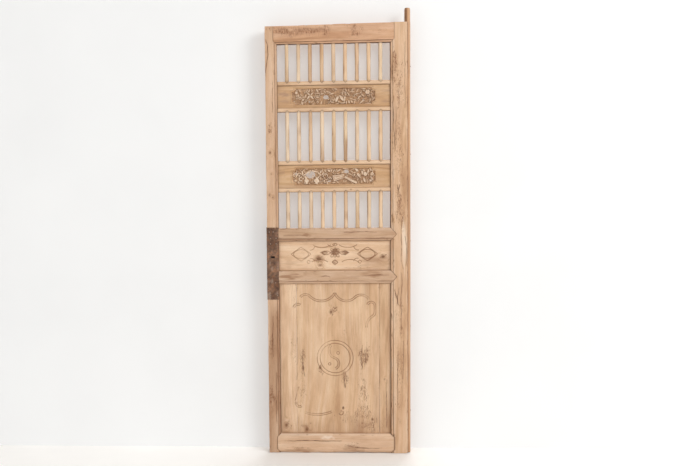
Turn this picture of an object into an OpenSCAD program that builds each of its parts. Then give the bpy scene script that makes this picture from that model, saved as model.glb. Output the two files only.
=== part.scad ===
// Carved lattice door leaf, stile-and-rail, with a round pivot pole
// Millimetres. Front faces -Y, +Z up, X = 0 at mid width, Z = 0 under the leaf.

/* [Leaf] */
// Height of the leaf at its pivot edge, without the pivot
leaf_h = 1715; // [1640:5:1900]
// Width from the latch edge to the outside of the pole
leaf_w = 570; // [540:2:680]
// Thickness of the stiles
leaf_t = 44; // [42:1:52]
// How much lower the top edge lies at the latch side
top_fall = 6; // [1:0.5:10]

/* [Frame] */
// Width of the latch stile
latch_stile_w = 47; // [44:1:56]
// Width of the pivot stile up to the pole's axis
pivot_stile_w = 67; // [62:1:78]
// Height of the top rail
top_rail_h = 77; // [70:1:95]
// Height of the lock rail
lock_rail_h = 50; // [46:1:60]
// Height of the waist rail
waist_rail_h = 51; // [46:1:60]
// Height of the bottom rail
bottom_rail_h = 78; // [70:1:100]
// Thickness of the rails, flush with the stiles in front
rail_t = 38; // [36:1:40]
// Width of the bead on stiles and rails
bead_w = 10; // [8:0.5:11]
// How far the top and bottom rail faces lap over the stiles
rail_lap = 14; // [10:1:18]
// Thickness of the mitred faces of the rails
lap_t = 11; // [8:0.5:12]

/* [Joints] */
// Thickness of the rail tenons
tenon_t = 12; // [8:1:14]
// Length of the rail tenons
tenon_l = 28; // [18:1:29]
// Set-in of the tenons from the rail edges
tenon_shoulder = 14; // [12:1:16]
// Free depth behind a tongue in its groove
groove_extra = 1; // [0.5:0.25:1.5]
// Gap on each side of a tenon, tongue or pole
fit_gap = 0.2; // [0.1:0.05:0.4]
// Seam left round the mitred faces
seam = 0.3; // [0.2:0.1:0.6]

/* [Pole] */
// Diameter of the pole
pole_d = 24; // [20:0.5:26]
// Diameter of the turned pivot
pivot_d = 23; // [18:0.5:24]
// Length of the pivot above the leaf
pivot_l = 55; // [40:1:80]
// Number of nails that hold the pole
pole_nail_count = 5; // [3:1:7]
// Length of a pole nail under its head
pole_nail_l = 48; // [36:1:54]

/* [Lattice] */
// Height of the slim rails
slim_h = 17; // [15:0.5:20]
// Depth of the slim rails
slim_t = 26; // [24:1:28]
// Set-back of the slim rails from the frame's face
slim_set = 3; // [1:0.5:5]
// Height of the top window
top_window_h = 145; // [120:1:170]
// Height of the middle window
middle_window_h = 192; // [150:1:220]
// Height of the bottom window
bottom_window_h = 144; // [120:1:170]
// Number of bars in each window
bar_count = 9; // [7:1:11]
// Width of a bar
bar_w = 15; // [12:0.5:17]
// Depth of a bar
bar_t = 18; // [16:0.5:20]
// Side of the square bar tenons
bar_tenon = 7; // [5:0.5:8]
// Length of the bar tenons
bar_tenon_l = 6; // [4:0.5:7]
// Thickness of the pointed bar ends
bar_lap = 7; // [6:0.5:7.5]
// Thickness of the slim rails' tenons
slim_tenon = 9; // [6:0.5:10]
// Length of the slim rails' tenons
slim_tenon_l = 14; // [10:0.5:18]

/* [Carved boards] */
// Height of the upper carved board between its rails
upper_board_h = 87; // [82:1:100]
// Height of the lower carved board between its rails
lower_board_h = 91; // [84:1:100]
// Thickness of the carved boards
board_t = 15; // [13:0.5:17]
// Set-back of the carved boards from the frame's face
board_set = 10; // [9:0.5:11]
// Length of the carved fields
field_l = 328; // [326:1:340]
// Height of the carved fields
field_h = 65; // [64:0.5:68]
// Depth of the ground behind the relief
field_d = 6.5; // [5.5:0.25:7]
// Cut-off of the field's corners
field_corner = 13; // [8:0.5:15]
// Depth of the tongues on the carved boards
board_tongue = 5; // [3:0.5:5]

/* [Panels] */
// Height of the waist panel between its rails
waist_panel_h = 120; // [112:1:140]
// Thickness of waist panel and planks
panel_t = 16; // [14:0.5:18]
// Set-back of the panels from the frame's face
panel_set = 10; // [9:0.5:12]
// Thickness of all tongues
tongue_t = 6; // [5:0.5:7]
// Depth of the panel tongues
panel_tongue = 8; // [5:0.5:9]
// Visible width of the left plank
left_plank_w = 68; // [60:1:74]
// Visible width of the right plank
right_plank_w = 46; // [40:1:52]
// Width of the back battens at their outer face
batten_w = 38; // [30:1:46]
// Depth of the back battens
batten_t = 16; // [14:0.5:16]
// Depth of the dovetail channels
dovetail_d = 5; // [3:0.5:6]
// Height of the lower batten's middle above the panel's lower edge
batten_low = 130; // [90:1:170]
// Distance of the upper batten's middle below the panel's upper edge
batten_high = 140; // [90:1:180]

/* [Incised lines] */
// Width of a cut line at the surface
line_w = 3; // [2:0.25:4]
// Depth of a cut line
line_d = 2; // [1.5:0.25:3]
// Spacing of the paired lines
line_pair = 7; // [6:0.5:9]
// Radius of the medallion's outer ring
medallion_r = 72; // [66:1:78]
// Width of the medallion's rim
medallion_rim = 12; // [9:0.5:15]
// Height of the medallion's middle above the panel's lower edge
medallion_z = 308; // [290:1:330]

/* [Iron plate] */
// Height of the plate
plate_h = 290; // [270:1:310]
// Thickness of the sheet
plate_t = 1.6; // [1:0.1:2]
// Distance of the plate's upper edge above the lock rail's middle
plate_up = 30; // [20:1:40]
// Width of the sheet turned onto the back
plate_back = 24; // [16:1:32]
// Length of the slot in the plate
slot_l = 19; // [12:0.5:22]
// Height of the slot in the plate
slot_h = 7; // [4:0.5:9]
// Depth of the slot's pocket in the stile
slot_d = 9; // [5:1:12]
// Diameter of the nail heads
head_d = 6.4; // [5:0.2:7]
// Height of the nail heads
head_h = 1.9; // [1.4:0.1:2.4]
// Depth to which the pole's nail heads are let in
head_sink = 0.6; // [0.5:0.05:0.9]
// Diameter of the nail shanks
shank_d = 2.8; // [2:0.1:3.2]
// Length of the plate nails under their heads
plate_nail_l = 14; // [10:0.5:15]

/* [Hidden] */
$fn = 48;
front = -leaf_t / 2;
left_edge = -leaf_w / 2;
pole_x = leaf_w / 2 - pole_d / 2;
open_l = left_edge + latch_stile_w;
open_r = pole_x - pivot_stile_w;
open_w = open_r - open_l;
open_mid = (open_l + open_r) / 2;

// Levels from the top down, the lower panel takes what is left
top_rail_z = leaf_h - top_rail_h;
slim_1_z = top_rail_z - top_window_h - slim_h;
upper_board_z = slim_1_z - upper_board_h;
slim_2_z = upper_board_z - slim_h;
slim_3_z = slim_2_z - middle_window_h - slim_h;
lower_board_z = slim_3_z - lower_board_h;
slim_4_z = lower_board_z - slim_h;
lock_rail_z = slim_4_z - bottom_window_h - lock_rail_h;
waist_panel_z = lock_rail_z - waist_panel_h;
waist_rail_z = waist_panel_z - waist_rail_h;
lower_panel_z = bottom_rail_h;
lower_panel_h = waist_rail_z - bottom_rail_h;

slim_y = front + slim_set;
bar_y = slim_y + 1;
bar_gap = (open_w - bar_count * bar_w) / (bar_count + 1);
bar_point = bar_w / 2;

board_y = front + board_set;
board_back = board_y + board_t;
panel_y = front + panel_set;
panel_back = panel_y + panel_t;

plank_l = open_l + left_plank_w;
plank_r = open_r - right_plank_w;
batten_z = [lower_panel_z + batten_low, waist_rail_z - batten_high];

plate_top = lock_rail_z + lock_rail_h / 2 + plate_up;
plate_z = plate_top - plate_h;
slot_x = left_edge + latch_stile_w * 0.43;
slot_z = plate_z + plate_h * 0.59;
// Nail rows of the plate as height share and the two places across it
nail_rows = [[0.94, 0.2, 0.53], [0.853, 0.3, 0.77], [0.776, 0.3, 0.77], [0.235, 0.32, 0.7], [0.062, 0.26, 0.85]];

wood = "#C9A678";
pale = "#D6B78A";
brown = "#B58E63";
iron = "#5E4A42";

function bar_name(row, i) = str(row, "_bar_", i);

// Frame pieces

// Puts a drawing on a front face: its x to the right, its y up, its z to the viewer
module on_face(y) {
    translate([0, y, 0]) rotate([90, 0, 0]) children();
}

// Box from two corners
module block(a, b) {
    translate(a) cube(b - a);
}

// Cross-section of a stile or rail: x across from the plain edge, y from the face back
module beaded(w, t, bead) {
    bead_r = bead * 0.6;
    difference() {
        square([w, t]);
        difference() {
            translate([w - bead, -1]) square([bead + 1, bead_r + 1]);
            translate([w - bead / 2, bead_r + 0.4]) circle(bead_r);
        }
    }
}

// Face of the top rail, its ends lapping the stiles, lower corners mitred
module top_face(grow = 0) {
    z = top_rail_z - grow * 1.4;
    out = rail_lap + grow;
    polygon([
        [open_l - out, leaf_h + 2],
        [open_l - out, z + out],
        [open_l + 1, z - 1],
        [open_r - 1, z - 1],
        [open_r + out, z + out],
        [open_r + out, leaf_h + 2]
    ]);
}

// Rail face with a full arrow point at each end
module pointed_face(z, h, grow) {
    reach = h * 0.46 + grow;
    slope = (h / 2 + grow) / reach;
    polygon([
        [open_l - reach, z + h / 2],
        [open_l + 1, z - grow - slope],
        [open_r - 1, z - grow - slope],
        [open_r + reach, z + h / 2],
        [open_r - 1, z + h + grow + slope],
        [open_l + 1, z + h + grow + slope]
    ]);
}

module lock_face(grow = 0) {
    pointed_face(lock_rail_z, lock_rail_h, grow);
}

module waist_face(grow = 0) {
    pointed_face(waist_rail_z, waist_rail_h, grow);
}

// Face of the bottom rail, all four corners mitred
module bottom_face(grow = 0) {
    low = -grow * 1.4;
    high = bottom_rail_h + grow * 1.4;
    out = rail_lap + grow;
    polygon([
        [open_l - out, low + out],
        [open_l + 1, low - 1],
        [open_r - 1, low - 1],
        [open_r + out, low + out],
        [open_r + out, high - out],
        [open_r - 1, high + 1],
        [open_l + 1, high + 1],
        [open_l - out, high - out]
    ]);
}

// Wedge that takes the falling line off the top of the leaf
module top_cut() {
    on_face(leaf_t) linear_extrude(leaf_t * 2) polygon([
        [left_edge - 5, leaf_h - top_fall],
        [open_r, leaf_h],
        [open_r, leaf_h + 20],
        [left_edge - 5, leaf_h + 20]
    ]);
}

// Tenons of a frame rail, or with grow their mortises
module rail_tenons(z, h, low, high, grow = 0) {
    block(
        [open_l - tenon_l - grow * 4, -tenon_t / 2 - grow, z + low - grow],
        [open_l + 2, tenon_t / 2 + grow, z + h - high + grow]
    );
    block(
        [open_r - 2, -tenon_t / 2 - grow, z + low - grow],
        [open_r + tenon_l + grow * 4, tenon_t / 2 + grow, z + h - high + grow]
    );
}

module all_mortises() {
    rail_tenons(top_rail_z, top_rail_h, tenon_shoulder, tenon_shoulder + 6, fit_gap);
    rail_tenons(lock_rail_z, lock_rail_h, tenon_shoulder, tenon_shoulder, fit_gap);
    rail_tenons(waist_rail_z, waist_rail_h, tenon_shoulder, tenon_shoulder, fit_gap);
    rail_tenons(0, bottom_rail_h, tenon_shoulder, tenon_shoulder, fit_gap);
    for (z = [slim_1_z, slim_2_z, slim_3_z, slim_4_z]) slim_tenons(z, fit_gap);
}

module all_face_notches() {
    on_face(front + lap_t + fit_gap) linear_extrude(lap_t + 2) {
        top_face(seam);
        lock_face(seam);
        waist_face(seam);
        bottom_face(seam);
    }
}

// Grooves in the stiles and rails for the tongues of a board or panel
module tongue_groove(z, h, depth, back) {
    d = depth + groove_extra;
    block(
        [open_l - d, back - tongue_t - fit_gap, z - d],
        [open_r + d, back + fit_gap, z + h + d]
    );
}

module all_grooves() {
    tongue_groove(upper_board_z, upper_board_h, board_tongue, board_back);
    tongue_groove(lower_board_z, lower_board_h, board_tongue, board_back);
    tongue_groove(waist_panel_z, waist_panel_h, panel_tongue, panel_back);
    tongue_groove(lower_panel_z, lower_panel_h, panel_tongue, panel_back);
}

module left_stile() {
    color(wood) difference() {
        translate([left_edge, front, 0]) linear_extrude(leaf_h) beaded(latch_stile_w, leaf_t, bead_w);
        top_cut();
        all_face_notches();
        all_mortises();
        all_grooves();
        plate_nail_shanks(fit_gap * 0.5);
        on_face(front + slot_d) linear_extrude(slot_d + 1) slot_outline();
    }
}

module right_stile() {
    color(wood) difference() {
        translate([pole_x, front, 0]) mirror([1, 0, 0]) linear_extrude(leaf_h) beaded(pivot_stile_w, leaf_t, bead_w);
        translate([pole_x, 0, -1]) cylinder(d = pole_d + 2 * fit_gap, h = leaf_h + 2);
        all_face_notches();
        all_mortises();
        all_grooves();
        pole_nail_shanks(fit_gap * 0.5);
    }
}

// Rail with its lapping face, its straight rear part and its tenons
module frame_rail(z, h, bead, low, high) {
    union() {
        intersection() {
            translate([open_l - h, front, z]) rotate([90, 0, 90]) linear_extrude(open_w + 2 * h) {
                translate([0, h]) rotate(-90) rail_section(h, bead);
            }
            union() {
                on_face(front + lap_t) linear_extrude(lap_t + 1) children();
                block([open_l, front + lap_t - 3, z - 1], [open_r, front + rail_t + 1, z + h + 1]);
            }
        }
        rail_tenons(z, h, low, high);
    }
}

// Section of a rail with x from the upper edge down and y from the face back
module rail_section(h, bead) {
    if (bead > 0) {
        beaded(h, rail_t, bead);
    } else {
        square([h, rail_t]);
    }
}

module top_rail() {
    color(brown) difference() {
        frame_rail(top_rail_z, top_rail_h, bead_w, tenon_shoulder, tenon_shoulder + 6) top_face();
        top_cut();
        bar_tenons(top_rail_z, fit_gap);
    }
}

module lock_rail() {
    color(brown) difference() {
        frame_rail(lock_rail_z, lock_rail_h, bead_w, tenon_shoulder, tenon_shoulder) lock_face();
        tongue_groove(waist_panel_z, waist_panel_h, panel_tongue, panel_back);
        bar_tenons(lock_rail_z + lock_rail_h - bar_tenon_l, fit_gap);
        plate_nail_shanks(fit_gap * 0.5);
    }
}

module waist_rail() {
    color(brown) difference() {
        frame_rail(waist_rail_z, waist_rail_h, bead_w, tenon_shoulder, tenon_shoulder) waist_face();
        tongue_groove(waist_panel_z, waist_panel_h, panel_tongue, panel_back);
        tongue_groove(lower_panel_z, lower_panel_h, panel_tongue, panel_back);
    }
}

module bottom_rail() {
    color(wood) difference() {
        frame_rail(0, bottom_rail_h, 0, tenon_shoulder, tenon_shoulder) bottom_face();
        tongue_groove(lower_panel_z, lower_panel_h, panel_tongue, panel_back);
    }
}

module pivot_pole() {
    color(brown) difference() {
        translate([pole_x, 0, 0]) {
            cylinder(d = pole_d, h = leaf_h);
            translate([0, 0, leaf_h - 1]) cylinder(d = pivot_d, h = pivot_l + 1);
        }
        pole_nail_shanks(fit_gap * 0.5);
    }
}

// Window lattice

// Thumb-rounded section: x across, y from the crown back
module crowned(w, t, r) {
    difference() {
        translate([0, -0.5]) square([w, t + 0.5]);
        difference() {
            translate([-1, -1]) square([w + 2, r + 1]);
            translate([w / 2, r]) circle(r);
        }
    }
}

function bar_x(i) = open_l + bar_gap * i + bar_w * (i - 0.5);

// Square tenons of one end of all bars, or with grow their mortises
module bar_tenons(z, grow) {
    for (i = [1:bar_count]) {
        block(
            [bar_x(i) - bar_tenon / 2 - grow, bar_y + bar_t / 2 - bar_tenon / 2 + 2 - grow, z - grow * 2],
            [bar_x(i) + bar_tenon / 2 + grow, bar_y + bar_t / 2 + bar_tenon / 2 + 2 + grow, z + bar_tenon_l + grow * 2]
        );
    }
}

// Front outline of a bar, with a point at the lower and upper end where asked
module bar_face(i, z0, z1, low, high) {
    half = bar_w / 2;
    x = bar_x(i);
    polygon(concat(
        [[x - half, z0]],
        low ? [[x, z0 - bar_point]] : [],
        [[x + half, z0], [x + half, z1]],
        high ? [[x, z1 + bar_point]] : [],
        [[x - half, z1]]
    ));
}

// Notch in a slim rail for the point of a bar coming from above (side 1) or below (side -1)
module bar_notch(i, edge, side) {
    half = bar_w / 2 + fit_gap + 2;
    polygon([
        [bar_x(i), edge - side * (bar_point + fit_gap)],
        [bar_x(i) + half, edge + side * 2],
        [bar_x(i) - half, edge + side * 2]
    ]);
}

module bar(i, z0, h, low, high) {
    z1 = z0 + h;
    color(pale) union() {
        intersection() {
            translate([bar_x(i) - bar_w / 2, bar_y, z0 - bar_w]) linear_extrude(h + 2 * bar_w) crowned(bar_w, bar_t, bar_w * 0.6);
            union() {
                on_face(bar_y + bar_lap) linear_extrude(bar_lap + 1) bar_face(i, z0, z1, low, high);
                block([bar_x(i) - bar_w, bar_y + bar_lap - 2, z0], [bar_x(i) + bar_w, bar_y + bar_t + 1, z1]);
            }
        }
        block(
            [bar_x(i) - bar_tenon / 2, bar_y + bar_t / 2 - bar_tenon / 2 + 2, z0 - bar_tenon_l],
            [bar_x(i) + bar_tenon / 2, bar_y + bar_t / 2 + bar_tenon / 2 + 2, z1 + bar_tenon_l]
        );
    }
}

// End tenons of a slim rail, or with grow their mortises
module slim_tenons(z, grow = 0) {
    mid = z + slim_h / 2;
    block(
        [open_l - slim_tenon_l - grow * 4, -slim_tenon / 2 - 6 - grow, mid - slim_tenon / 2 + 1 - grow],
        [open_r + slim_tenon_l + grow * 4, slim_tenon / 2 - 6 + grow, mid + slim_tenon / 2 - 1 + grow]
    );
}

// Slim rail: bars on its side 1 (above) or -1 (below), a carved board on the other side
module slim_rail(z, side, board_z, board_h) {
    edge = side > 0 ? z + slim_h : z;
    color(pale) difference() {
        union() {
            translate([open_l, slim_y, z]) rotate([90, 0, 90]) linear_extrude(open_w) {
                translate([0, slim_h]) rotate(-90) crowned(slim_h, slim_t, slim_h * 0.66);
            }
            slim_tenons(z);
        }
        bar_tenons(side > 0 ? edge - bar_tenon_l : edge, fit_gap);
        on_face(bar_y + bar_lap + fit_gap) linear_extrude(bar_lap + 3) {
            for (i = [1:bar_count]) bar_notch(i, edge, side);
        }
        tongue_groove(board_z, board_h, board_tongue, board_back);
    }
}

// Carved boards

// Board with tongues all round, its face standing forward of them
module tongued_board(x0, x1, z0, h, y, t, tongue, tongue_left = true, tongue_right = true) {
    g = fit_gap;
    back = y + t;
    block(
        [x0 + (tongue_left ? g : 0), y, z0 + g],
        [x1 - (tongue_right ? g : 0), back, z0 + h - g]
    );
    block(
        [x0 - (tongue_left ? tongue : 0), back - tongue_t, z0 - tongue],
        [x1 + (tongue_right ? tongue : 0), back, z0 + h + tongue]
    );
}

// Outline of a carved field with cut corners, about its own middle
module field_outline(grow = 0) {
    a = field_l / 2 + grow;
    b = field_h / 2 + grow;
    c = field_corner + grow * 0.4;
    polygon([
        [-a, -b + c], [-a + c, -b], [a - c, -b], [a, -b + c],
        [a, b - c], [a - c, b], [-a + c, b], [-a, b - c]
    ]);
}

// Two-arc leaf outline from the origin along x
module leaf_outline(l, w) {
    r = (l * l + w * w) / (4 * w);
    intersection() {
        translate([l / 2, r - w / 2]) circle(r);
        translate([l / 2, w / 2 - r]) circle(r);
    }
}

// Leaf with a raised midrib
module leaf(x, y, turn, l, w, h = field_d) {
    translate([x, y, -field_d - 1]) rotate(turn) intersection() {
        linear_extrude(h + 1) leaf_outline(l, w);
        rotate([90, 0, 90]) translate([0, 0, -1]) linear_extrude(l + 2) {
            polygon([[-w, 0], [w, 0], [w, 1], [0, h + 0.8], [-w, 1]]);
        }
    }
}

// Open blossom: a ring of round petals about a raised eye
module blossom(x, y, r, n, turn = 0) {
    translate([x, y, -field_d]) {
        for (i = [0:n - 1]) rotate(turn + i * 360 / n) translate([r * 0.62, 0, 0]) sphere(r * 0.44, $fn = 20);
        translate([0, 0, -1]) cylinder(r = r * 0.3, h = field_d + 0.5, $fn = 24);
    }
}

// Round stem along an arc
module stem(x, y, r, from, sweep, d = 4) {
    translate([x, y, -field_d + d * 0.3]) rotate(from) rotate_extrude(angle = sweep) translate([r, 0]) circle(d = d, $fn = 16);
}

// Vase lying half in the ground, foot at the origin, mouth up
module vase(x, y, turn, h, r) {
    translate([x, y, -field_d]) rotate(turn) intersection() {
        translate([0, 0, -r * 0.4]) rotate([-90, 0, 0]) rotate_extrude($fn = 32) polygon([
            [0, 0], [r * 0.55, 0], [r * 0.5, h * 0.08], [r * 0.95, h * 0.35], [r, h * 0.5],
            [r * 0.8, h * 0.68], [r * 0.45, h * 0.84], [r * 0.6, h], [0, h]
        ]);
        translate([-r * 2, -1, -1]) cube([r * 4, h + 2, field_d + 0.8]);
    }
}

// Outline of a pierced hole
module piercing(x, y, a, b, turn = 0) {
    translate([x, y]) rotate(turn) scale([a, b]) circle(1, $fn = 36);
}

// Board with a sunk field, its border line and piercings; children stand on the ground
module carved_board(z, h, mid_x, mid_z) {
    union() {
        difference() {
            tongued_board(open_l, open_r, z, h, board_y, board_t, board_tongue);
            translate([mid_x, 0, mid_z]) on_face(board_y) {
                translate([0, 0, -field_d]) linear_extrude(field_d + 1) field_outline();
                translate([0, 0, -1]) linear_extrude(2) difference() {
                    field_outline(5);
                    field_outline(3.4);
                }
                translate([0, 0, -board_t - 1]) linear_extrude(board_t) children(0);
            }
        }
        translate([mid_x, 0, mid_z]) on_face(board_y) children(1);
    }
}

module upper_carved_board() {
    color(brown) carved_board(upper_board_z, upper_board_h, open_mid - 1, upper_board_z + upper_board_h / 2) {
        union() {
            piercing(-28, -3, 11, 8);
            piercing(-93, -19, 9, 5, 20);
            piercing(118, -17, 8, 6, -20);
            piercing(46, 15, 9, 5, 25);
        }
        upper_relief();
    }
}

// Leaf scrolls and blossoms along a winding stem
module upper_relief() {
    stem(-128, -34, 38, 50, 70);
    stem(-82, 24, 38, 215, 100);
    stem(-30, -32, 34, 40, 110);
    stem(28, 26, 36, 205, 110);
    stem(84, -34, 38, 45, 95);
    stem(136, 20, 30, 200, 90);
    for (s = [0:3]) {
        leaf(-140 + s * 15, -24 + (s % 2) * 12, 118 - s * 12, 30, 10);
        leaf(-150 + s * 17, 26 - (s % 2) * 7, -62 + s * 16, 27, 9);
    }
    for (q = [45, 135, 225, 315]) leaf(-91, 2, q, 21, 9);
    blossom(-66, 2, 12, 6, 15);
    leaf(-54, -26, 20, 30, 9);
    leaf(-50, 24, -8, 26, 8);
    leaf(-12, 22, -60, 26, 9);
    leaf(8, -22, 70, 30, 15);
    leaf(28, -22, 112, 30, 15);
    for (s = [0:4]) {
        leaf(44 + s * 15, -25, 62 + s * 4, 28, 9);
        leaf(38 + s * 16, 26, -46 - s * 5, 26, 8);
    }
    blossom(131, 10, 13, 6, 0);
    leaf(118, -26, 40, 26, 10);
    leaf(150, -24, 110, 26, 10);
}

module lower_carved_board() {
    color(brown) carved_board(lower_board_z, lower_board_h, open_mid - 1, lower_board_z + lower_board_h / 2) {
        union() {
            piercing(-92, 7, 19, 14);
            piercing(49, 18, 10, 7, -10);
            piercing(-150, 12, 6, 9, 15);
            piercing(146, -18, 8, 6);
            piercing(-18, -20, 10, 5);
        }
        lower_relief();
    }
}

// Two vases with branches, a book, a ribbon and a cluster of blossoms
module lower_relief() {
    stem(-134, 2, 13, 20, 250);
    stem(-133, -3, 6, 190, 250);
    leaf(-158, -10, -50, 28, 11);
    leaf(-150, 26, -20, 30, 10);
    leaf(-122, -27, 30, 24, 9);
    vase(-110, -30, 12, 31, 11);
    stem(-143, -4, 30, 2, 62);
    leaf(-119, 14, 140, 22, 8);
    leaf(-118, 20, 40, 18, 7);
    vase(-72, -30, -12, 31, 11);
    stem(-39, -4, 30, 122, 56);
    leaf(-66, 16, 55, 18, 7);
    leaf(-58, 20, 5, 24, 8);
    leaf(-60, 12, -25, 22, 7);
    stem(-38, 0, 8, -20, 240);
    stem(-22, 0, 8, 160, 240);
    leaf(-36, -26, 15, 30, 9);
    blossom(-22, 22, 7, 5);
    translate([0, 0, -field_d - 1]) linear_extrude(field_d + 0.4) difference() {
        polygon([[-12, 9], [30, 12], [40, -8], [-2, -17]]);
        polygon([[-4, 5], [27, 7.5], [33, -5], [2, -12]]);
    }
    translate([2, -3, -field_d - 1]) rotate(8) linear_extrude(field_d - 1) translate([3, -1]) square([24, 3]);
    translate([42, 2, -field_d]) rotate(-33) rotate([0, 90, 0]) cylinder(r = 5, h = 55, $fn = 24);
    stem(62, 26, 20, 225, 90);
    leaf(66, 8, 15, 22, 9);
    leaf(88, -26, 60, 26, 10);
    leaf(104, -28, 95, 26, 9);
    blossom(96, 6, 10, 5, 20);
    blossom(123, 14, 13, 6, 10);
    blossom(120, -17, 10, 5, 40);
    leaf(134, -4, 10, 24, 9);
    leaf(140, 26, -50, 24, 9);
    leaf(78, 26, -12, 30, 9);
}

// Panels with incised lines

// Straight V-cut between two points of a face
module cut_line(a, b) {
    d = b - a;
    translate([a[0], a[1], 0]) rotate(atan2(d[1], d[0])) rotate([90, 0, 90]) linear_extrude(norm(d)) {
        polygon([[0, -line_d], [line_w, line_d], [-line_w, line_d]]);
    }
}

// V-cut along an arc of a face
module cut_arc(x, y, r, from, sweep) {
    translate([x, y, 0]) rotate(from) rotate_extrude(angle = sweep) {
        polygon([[r, -line_d], [r + line_w, line_d], [r - line_w, line_d]]);
    }
}

// Pair of V-cuts along an arc
module cut_pair(x, y, r, from, sweep) {
    cut_arc(x, y, r + line_pair / 2, from, sweep);
    cut_arc(x, y, r - line_pair / 2, from, sweep);
}

// Two-arc eye outline about its middle, open at its tips, half length a and half height b
module cut_eye(x, y, a, b) {
    r = (a * a + b * b) / (2 * b);
    half = asin(a / r) - line_w / r * 60;
    cut_arc(x, y + b - r, r, 90 - half, 2 * half);
    cut_arc(x, y - b + r, r, 270 - half, 2 * half);
}

module waist_panel() {
    color(wood) difference() {
        tongued_board(open_l, open_r, waist_panel_z, waist_panel_h, panel_y, panel_t, panel_tongue);
        translate([open_mid, 0, waist_panel_z + waist_panel_h / 2]) on_face(panel_y) waist_lines();
    }
}

// Two double eyes, a four-leaved flower between them and the bracket lines above
module waist_lines() {
    for (s = [-1, 1]) {
        cut_eye(s * 132 - 2, 5, 40, 26);
        cut_eye(s * 132 - 2, 5, 29, 18);
        cut_arc(s * 94 - 2, 38, 16, s > 0 ? 190 : 260, 90);
        cut_arc(s * 92 - 2, -26, 15, s > 0 ? 75 : 15, 90);
        cut_eye(s * 34 + 1, 11, 17, 7);
        cut_arc(s * 52 + 1, 94, 62, s > 0 ? 262 : 254, 24);
    }
    for (q = [0, 90, 180, 270]) translate([1, 11, 0]) rotate(q + 45) translate([14.5, 0, 0]) cut_eye(0, 0, 8.5, 5);
    cut_arc(1, 11, 4, 0, 360);
    cut_eye(1, -27, 10, 6);
    cut_eye(1, 44, 9, 5);
}

// Side line, hooks and bracket of the cartouche, x from the medallion's middle, y from the panel's lower edge
module cartouche_lines() {
    bracket(-1, 55, 118, 540, 32, 27);
    bracket(1, 45, 104, 540, 32, 24);
    cut_pair(-149, 511, 16, 55, 110);
    cut_pair(144, 520, 15, 0, 160);
    cut_line([159 + line_pair / 2, 519], [159 + line_pair / 2, 495]);
    cut_line([159 - line_pair / 2, 519], [159 - line_pair / 2, 495]);
    cut_pair(141, 494, 18, 304, 56);
    cut_pair(175, 435, 50, 120, 62);
    cut_pair(-145, 124, 15, 165, 130);
    cut_line([-148, 190], [-160 - line_pair / 2, 134]);
    cut_pair(-74, 222, 146, 251, 42);
    cut_arc(22, 84, 9, 200, 200);
    cut_line([-9, 516], [0, 508]);
    cut_line([9, 516], [0, 508]);
    cut_line([-7, 504], [0, 497]);
    cut_line([7, 504], [0, 497]);
}

// Half of the ogee bracket: from the middle cusp down to the dip, up to the crest and over it
module bracket(side, dip_x, crest_x, dip_y, rise, crest_rise) {
    r2 = (dip_x * dip_x + rise * rise) / (2 * rise);
    dx = crest_x - dip_x;
    k = r2 - crest_rise;
    r1 = (dx * dx + k * k - r2 * r2) / (2 * (r2 - k));
    meet = atan2(k + r1, dx);
    cusp = atan2(rise - r2, dip_x);
    mirror([side > 0 ? 1 : 0, 0, 0]) {
        cut_pair(-dip_x, dip_y + r2, r2, 180 + meet, 180 + cusp - meet);
        cut_pair(-crest_x, dip_y + crest_rise - r1, r1, meet + 60 / r1, 145 - meet);
    }
}

// Ringed medallion with its winding double line and two eyes
module medallion_lines() {
    r = medallion_r - medallion_rim;
    cut_arc(0, 0, medallion_r, 0, 360);
    cut_arc(0, 0, r, 0, 360);
    cut_pair(8, 31, 32, 140, 110);
    cut_pair(-9, -22, 23.7, -62, 132);
    cut_arc(12, 21, 6, 0, 360);
    cut_arc(-22, -24, 5, 0, 360);
}

// Dovetail channels of the battens across the planks, or with no grow the battens' own dovetails
module dovetail(z, grow = 0) {
    translate([open_l - 2, panel_back, z]) rotate([90, 0, 90]) linear_extrude(open_w + 4) polygon([
        [-dovetail_d - grow, -batten_w * 0.42 - grow],
        [grow > 0 ? 1 : 0.5, -batten_w * 0.32 - grow],
        [grow > 0 ? 1 : 0.5, batten_w * 0.32 + grow],
        [-dovetail_d - grow, batten_w * 0.42 + grow]
    ]);
}

// One plank of the lower panel with its share of the incised lines
module plank(x0, x1, at_left, at_right) {
    color(wood) difference() {
        tongued_board(x0, x1, lower_panel_z, lower_panel_h, panel_y, panel_t, panel_tongue, at_left, at_right);
        intersection() {
            block([x0 - 1, panel_y - 9, 0], [x1 + 1, panel_y + 9, leaf_h]);
            translate([open_mid, 0, lower_panel_z]) on_face(panel_y) {
                cartouche_lines();
                translate([-1, medallion_z, 0]) medallion_lines();
            }
        }
        for (z = batten_z) dovetail(z, fit_gap);
    }
}

module left_plank() {
    plank(open_l, plank_l - seam / 2, true, false);
}

module centre_plank() {
    plank(plank_l + seam / 2, plank_r - seam / 2, false, false);
}

module right_plank() {
    plank(plank_r + seam / 2, open_r, false, true);
}

// Batten across the back, dovetailed into the planks between the stiles
module back_batten(z) {
    color(wood) intersection() {
        union() {
            dovetail(z);
            block([open_l, panel_back, z - batten_w / 2], [open_r, panel_back + batten_t, z + batten_w / 2]);
        }
        block([open_l + 1, -leaf_t, z - batten_w], [open_r - 1, leaf_t, z + batten_w]);
    }
}

// Ironwork

// Rounded slot through the plate
module slot_outline() {
    translate([slot_x, slot_z]) {
        square([slot_l - slot_h, slot_h], center = true);
        for (s = [-1, 1]) translate([s * (slot_l - slot_h) / 2, 0]) circle(d = slot_h, $fn = 24);
    }
}

function nail_z(row) = plate_z + plate_h * row[0];
function nail_x(share) = left_edge + latch_stile_w * share;

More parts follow.
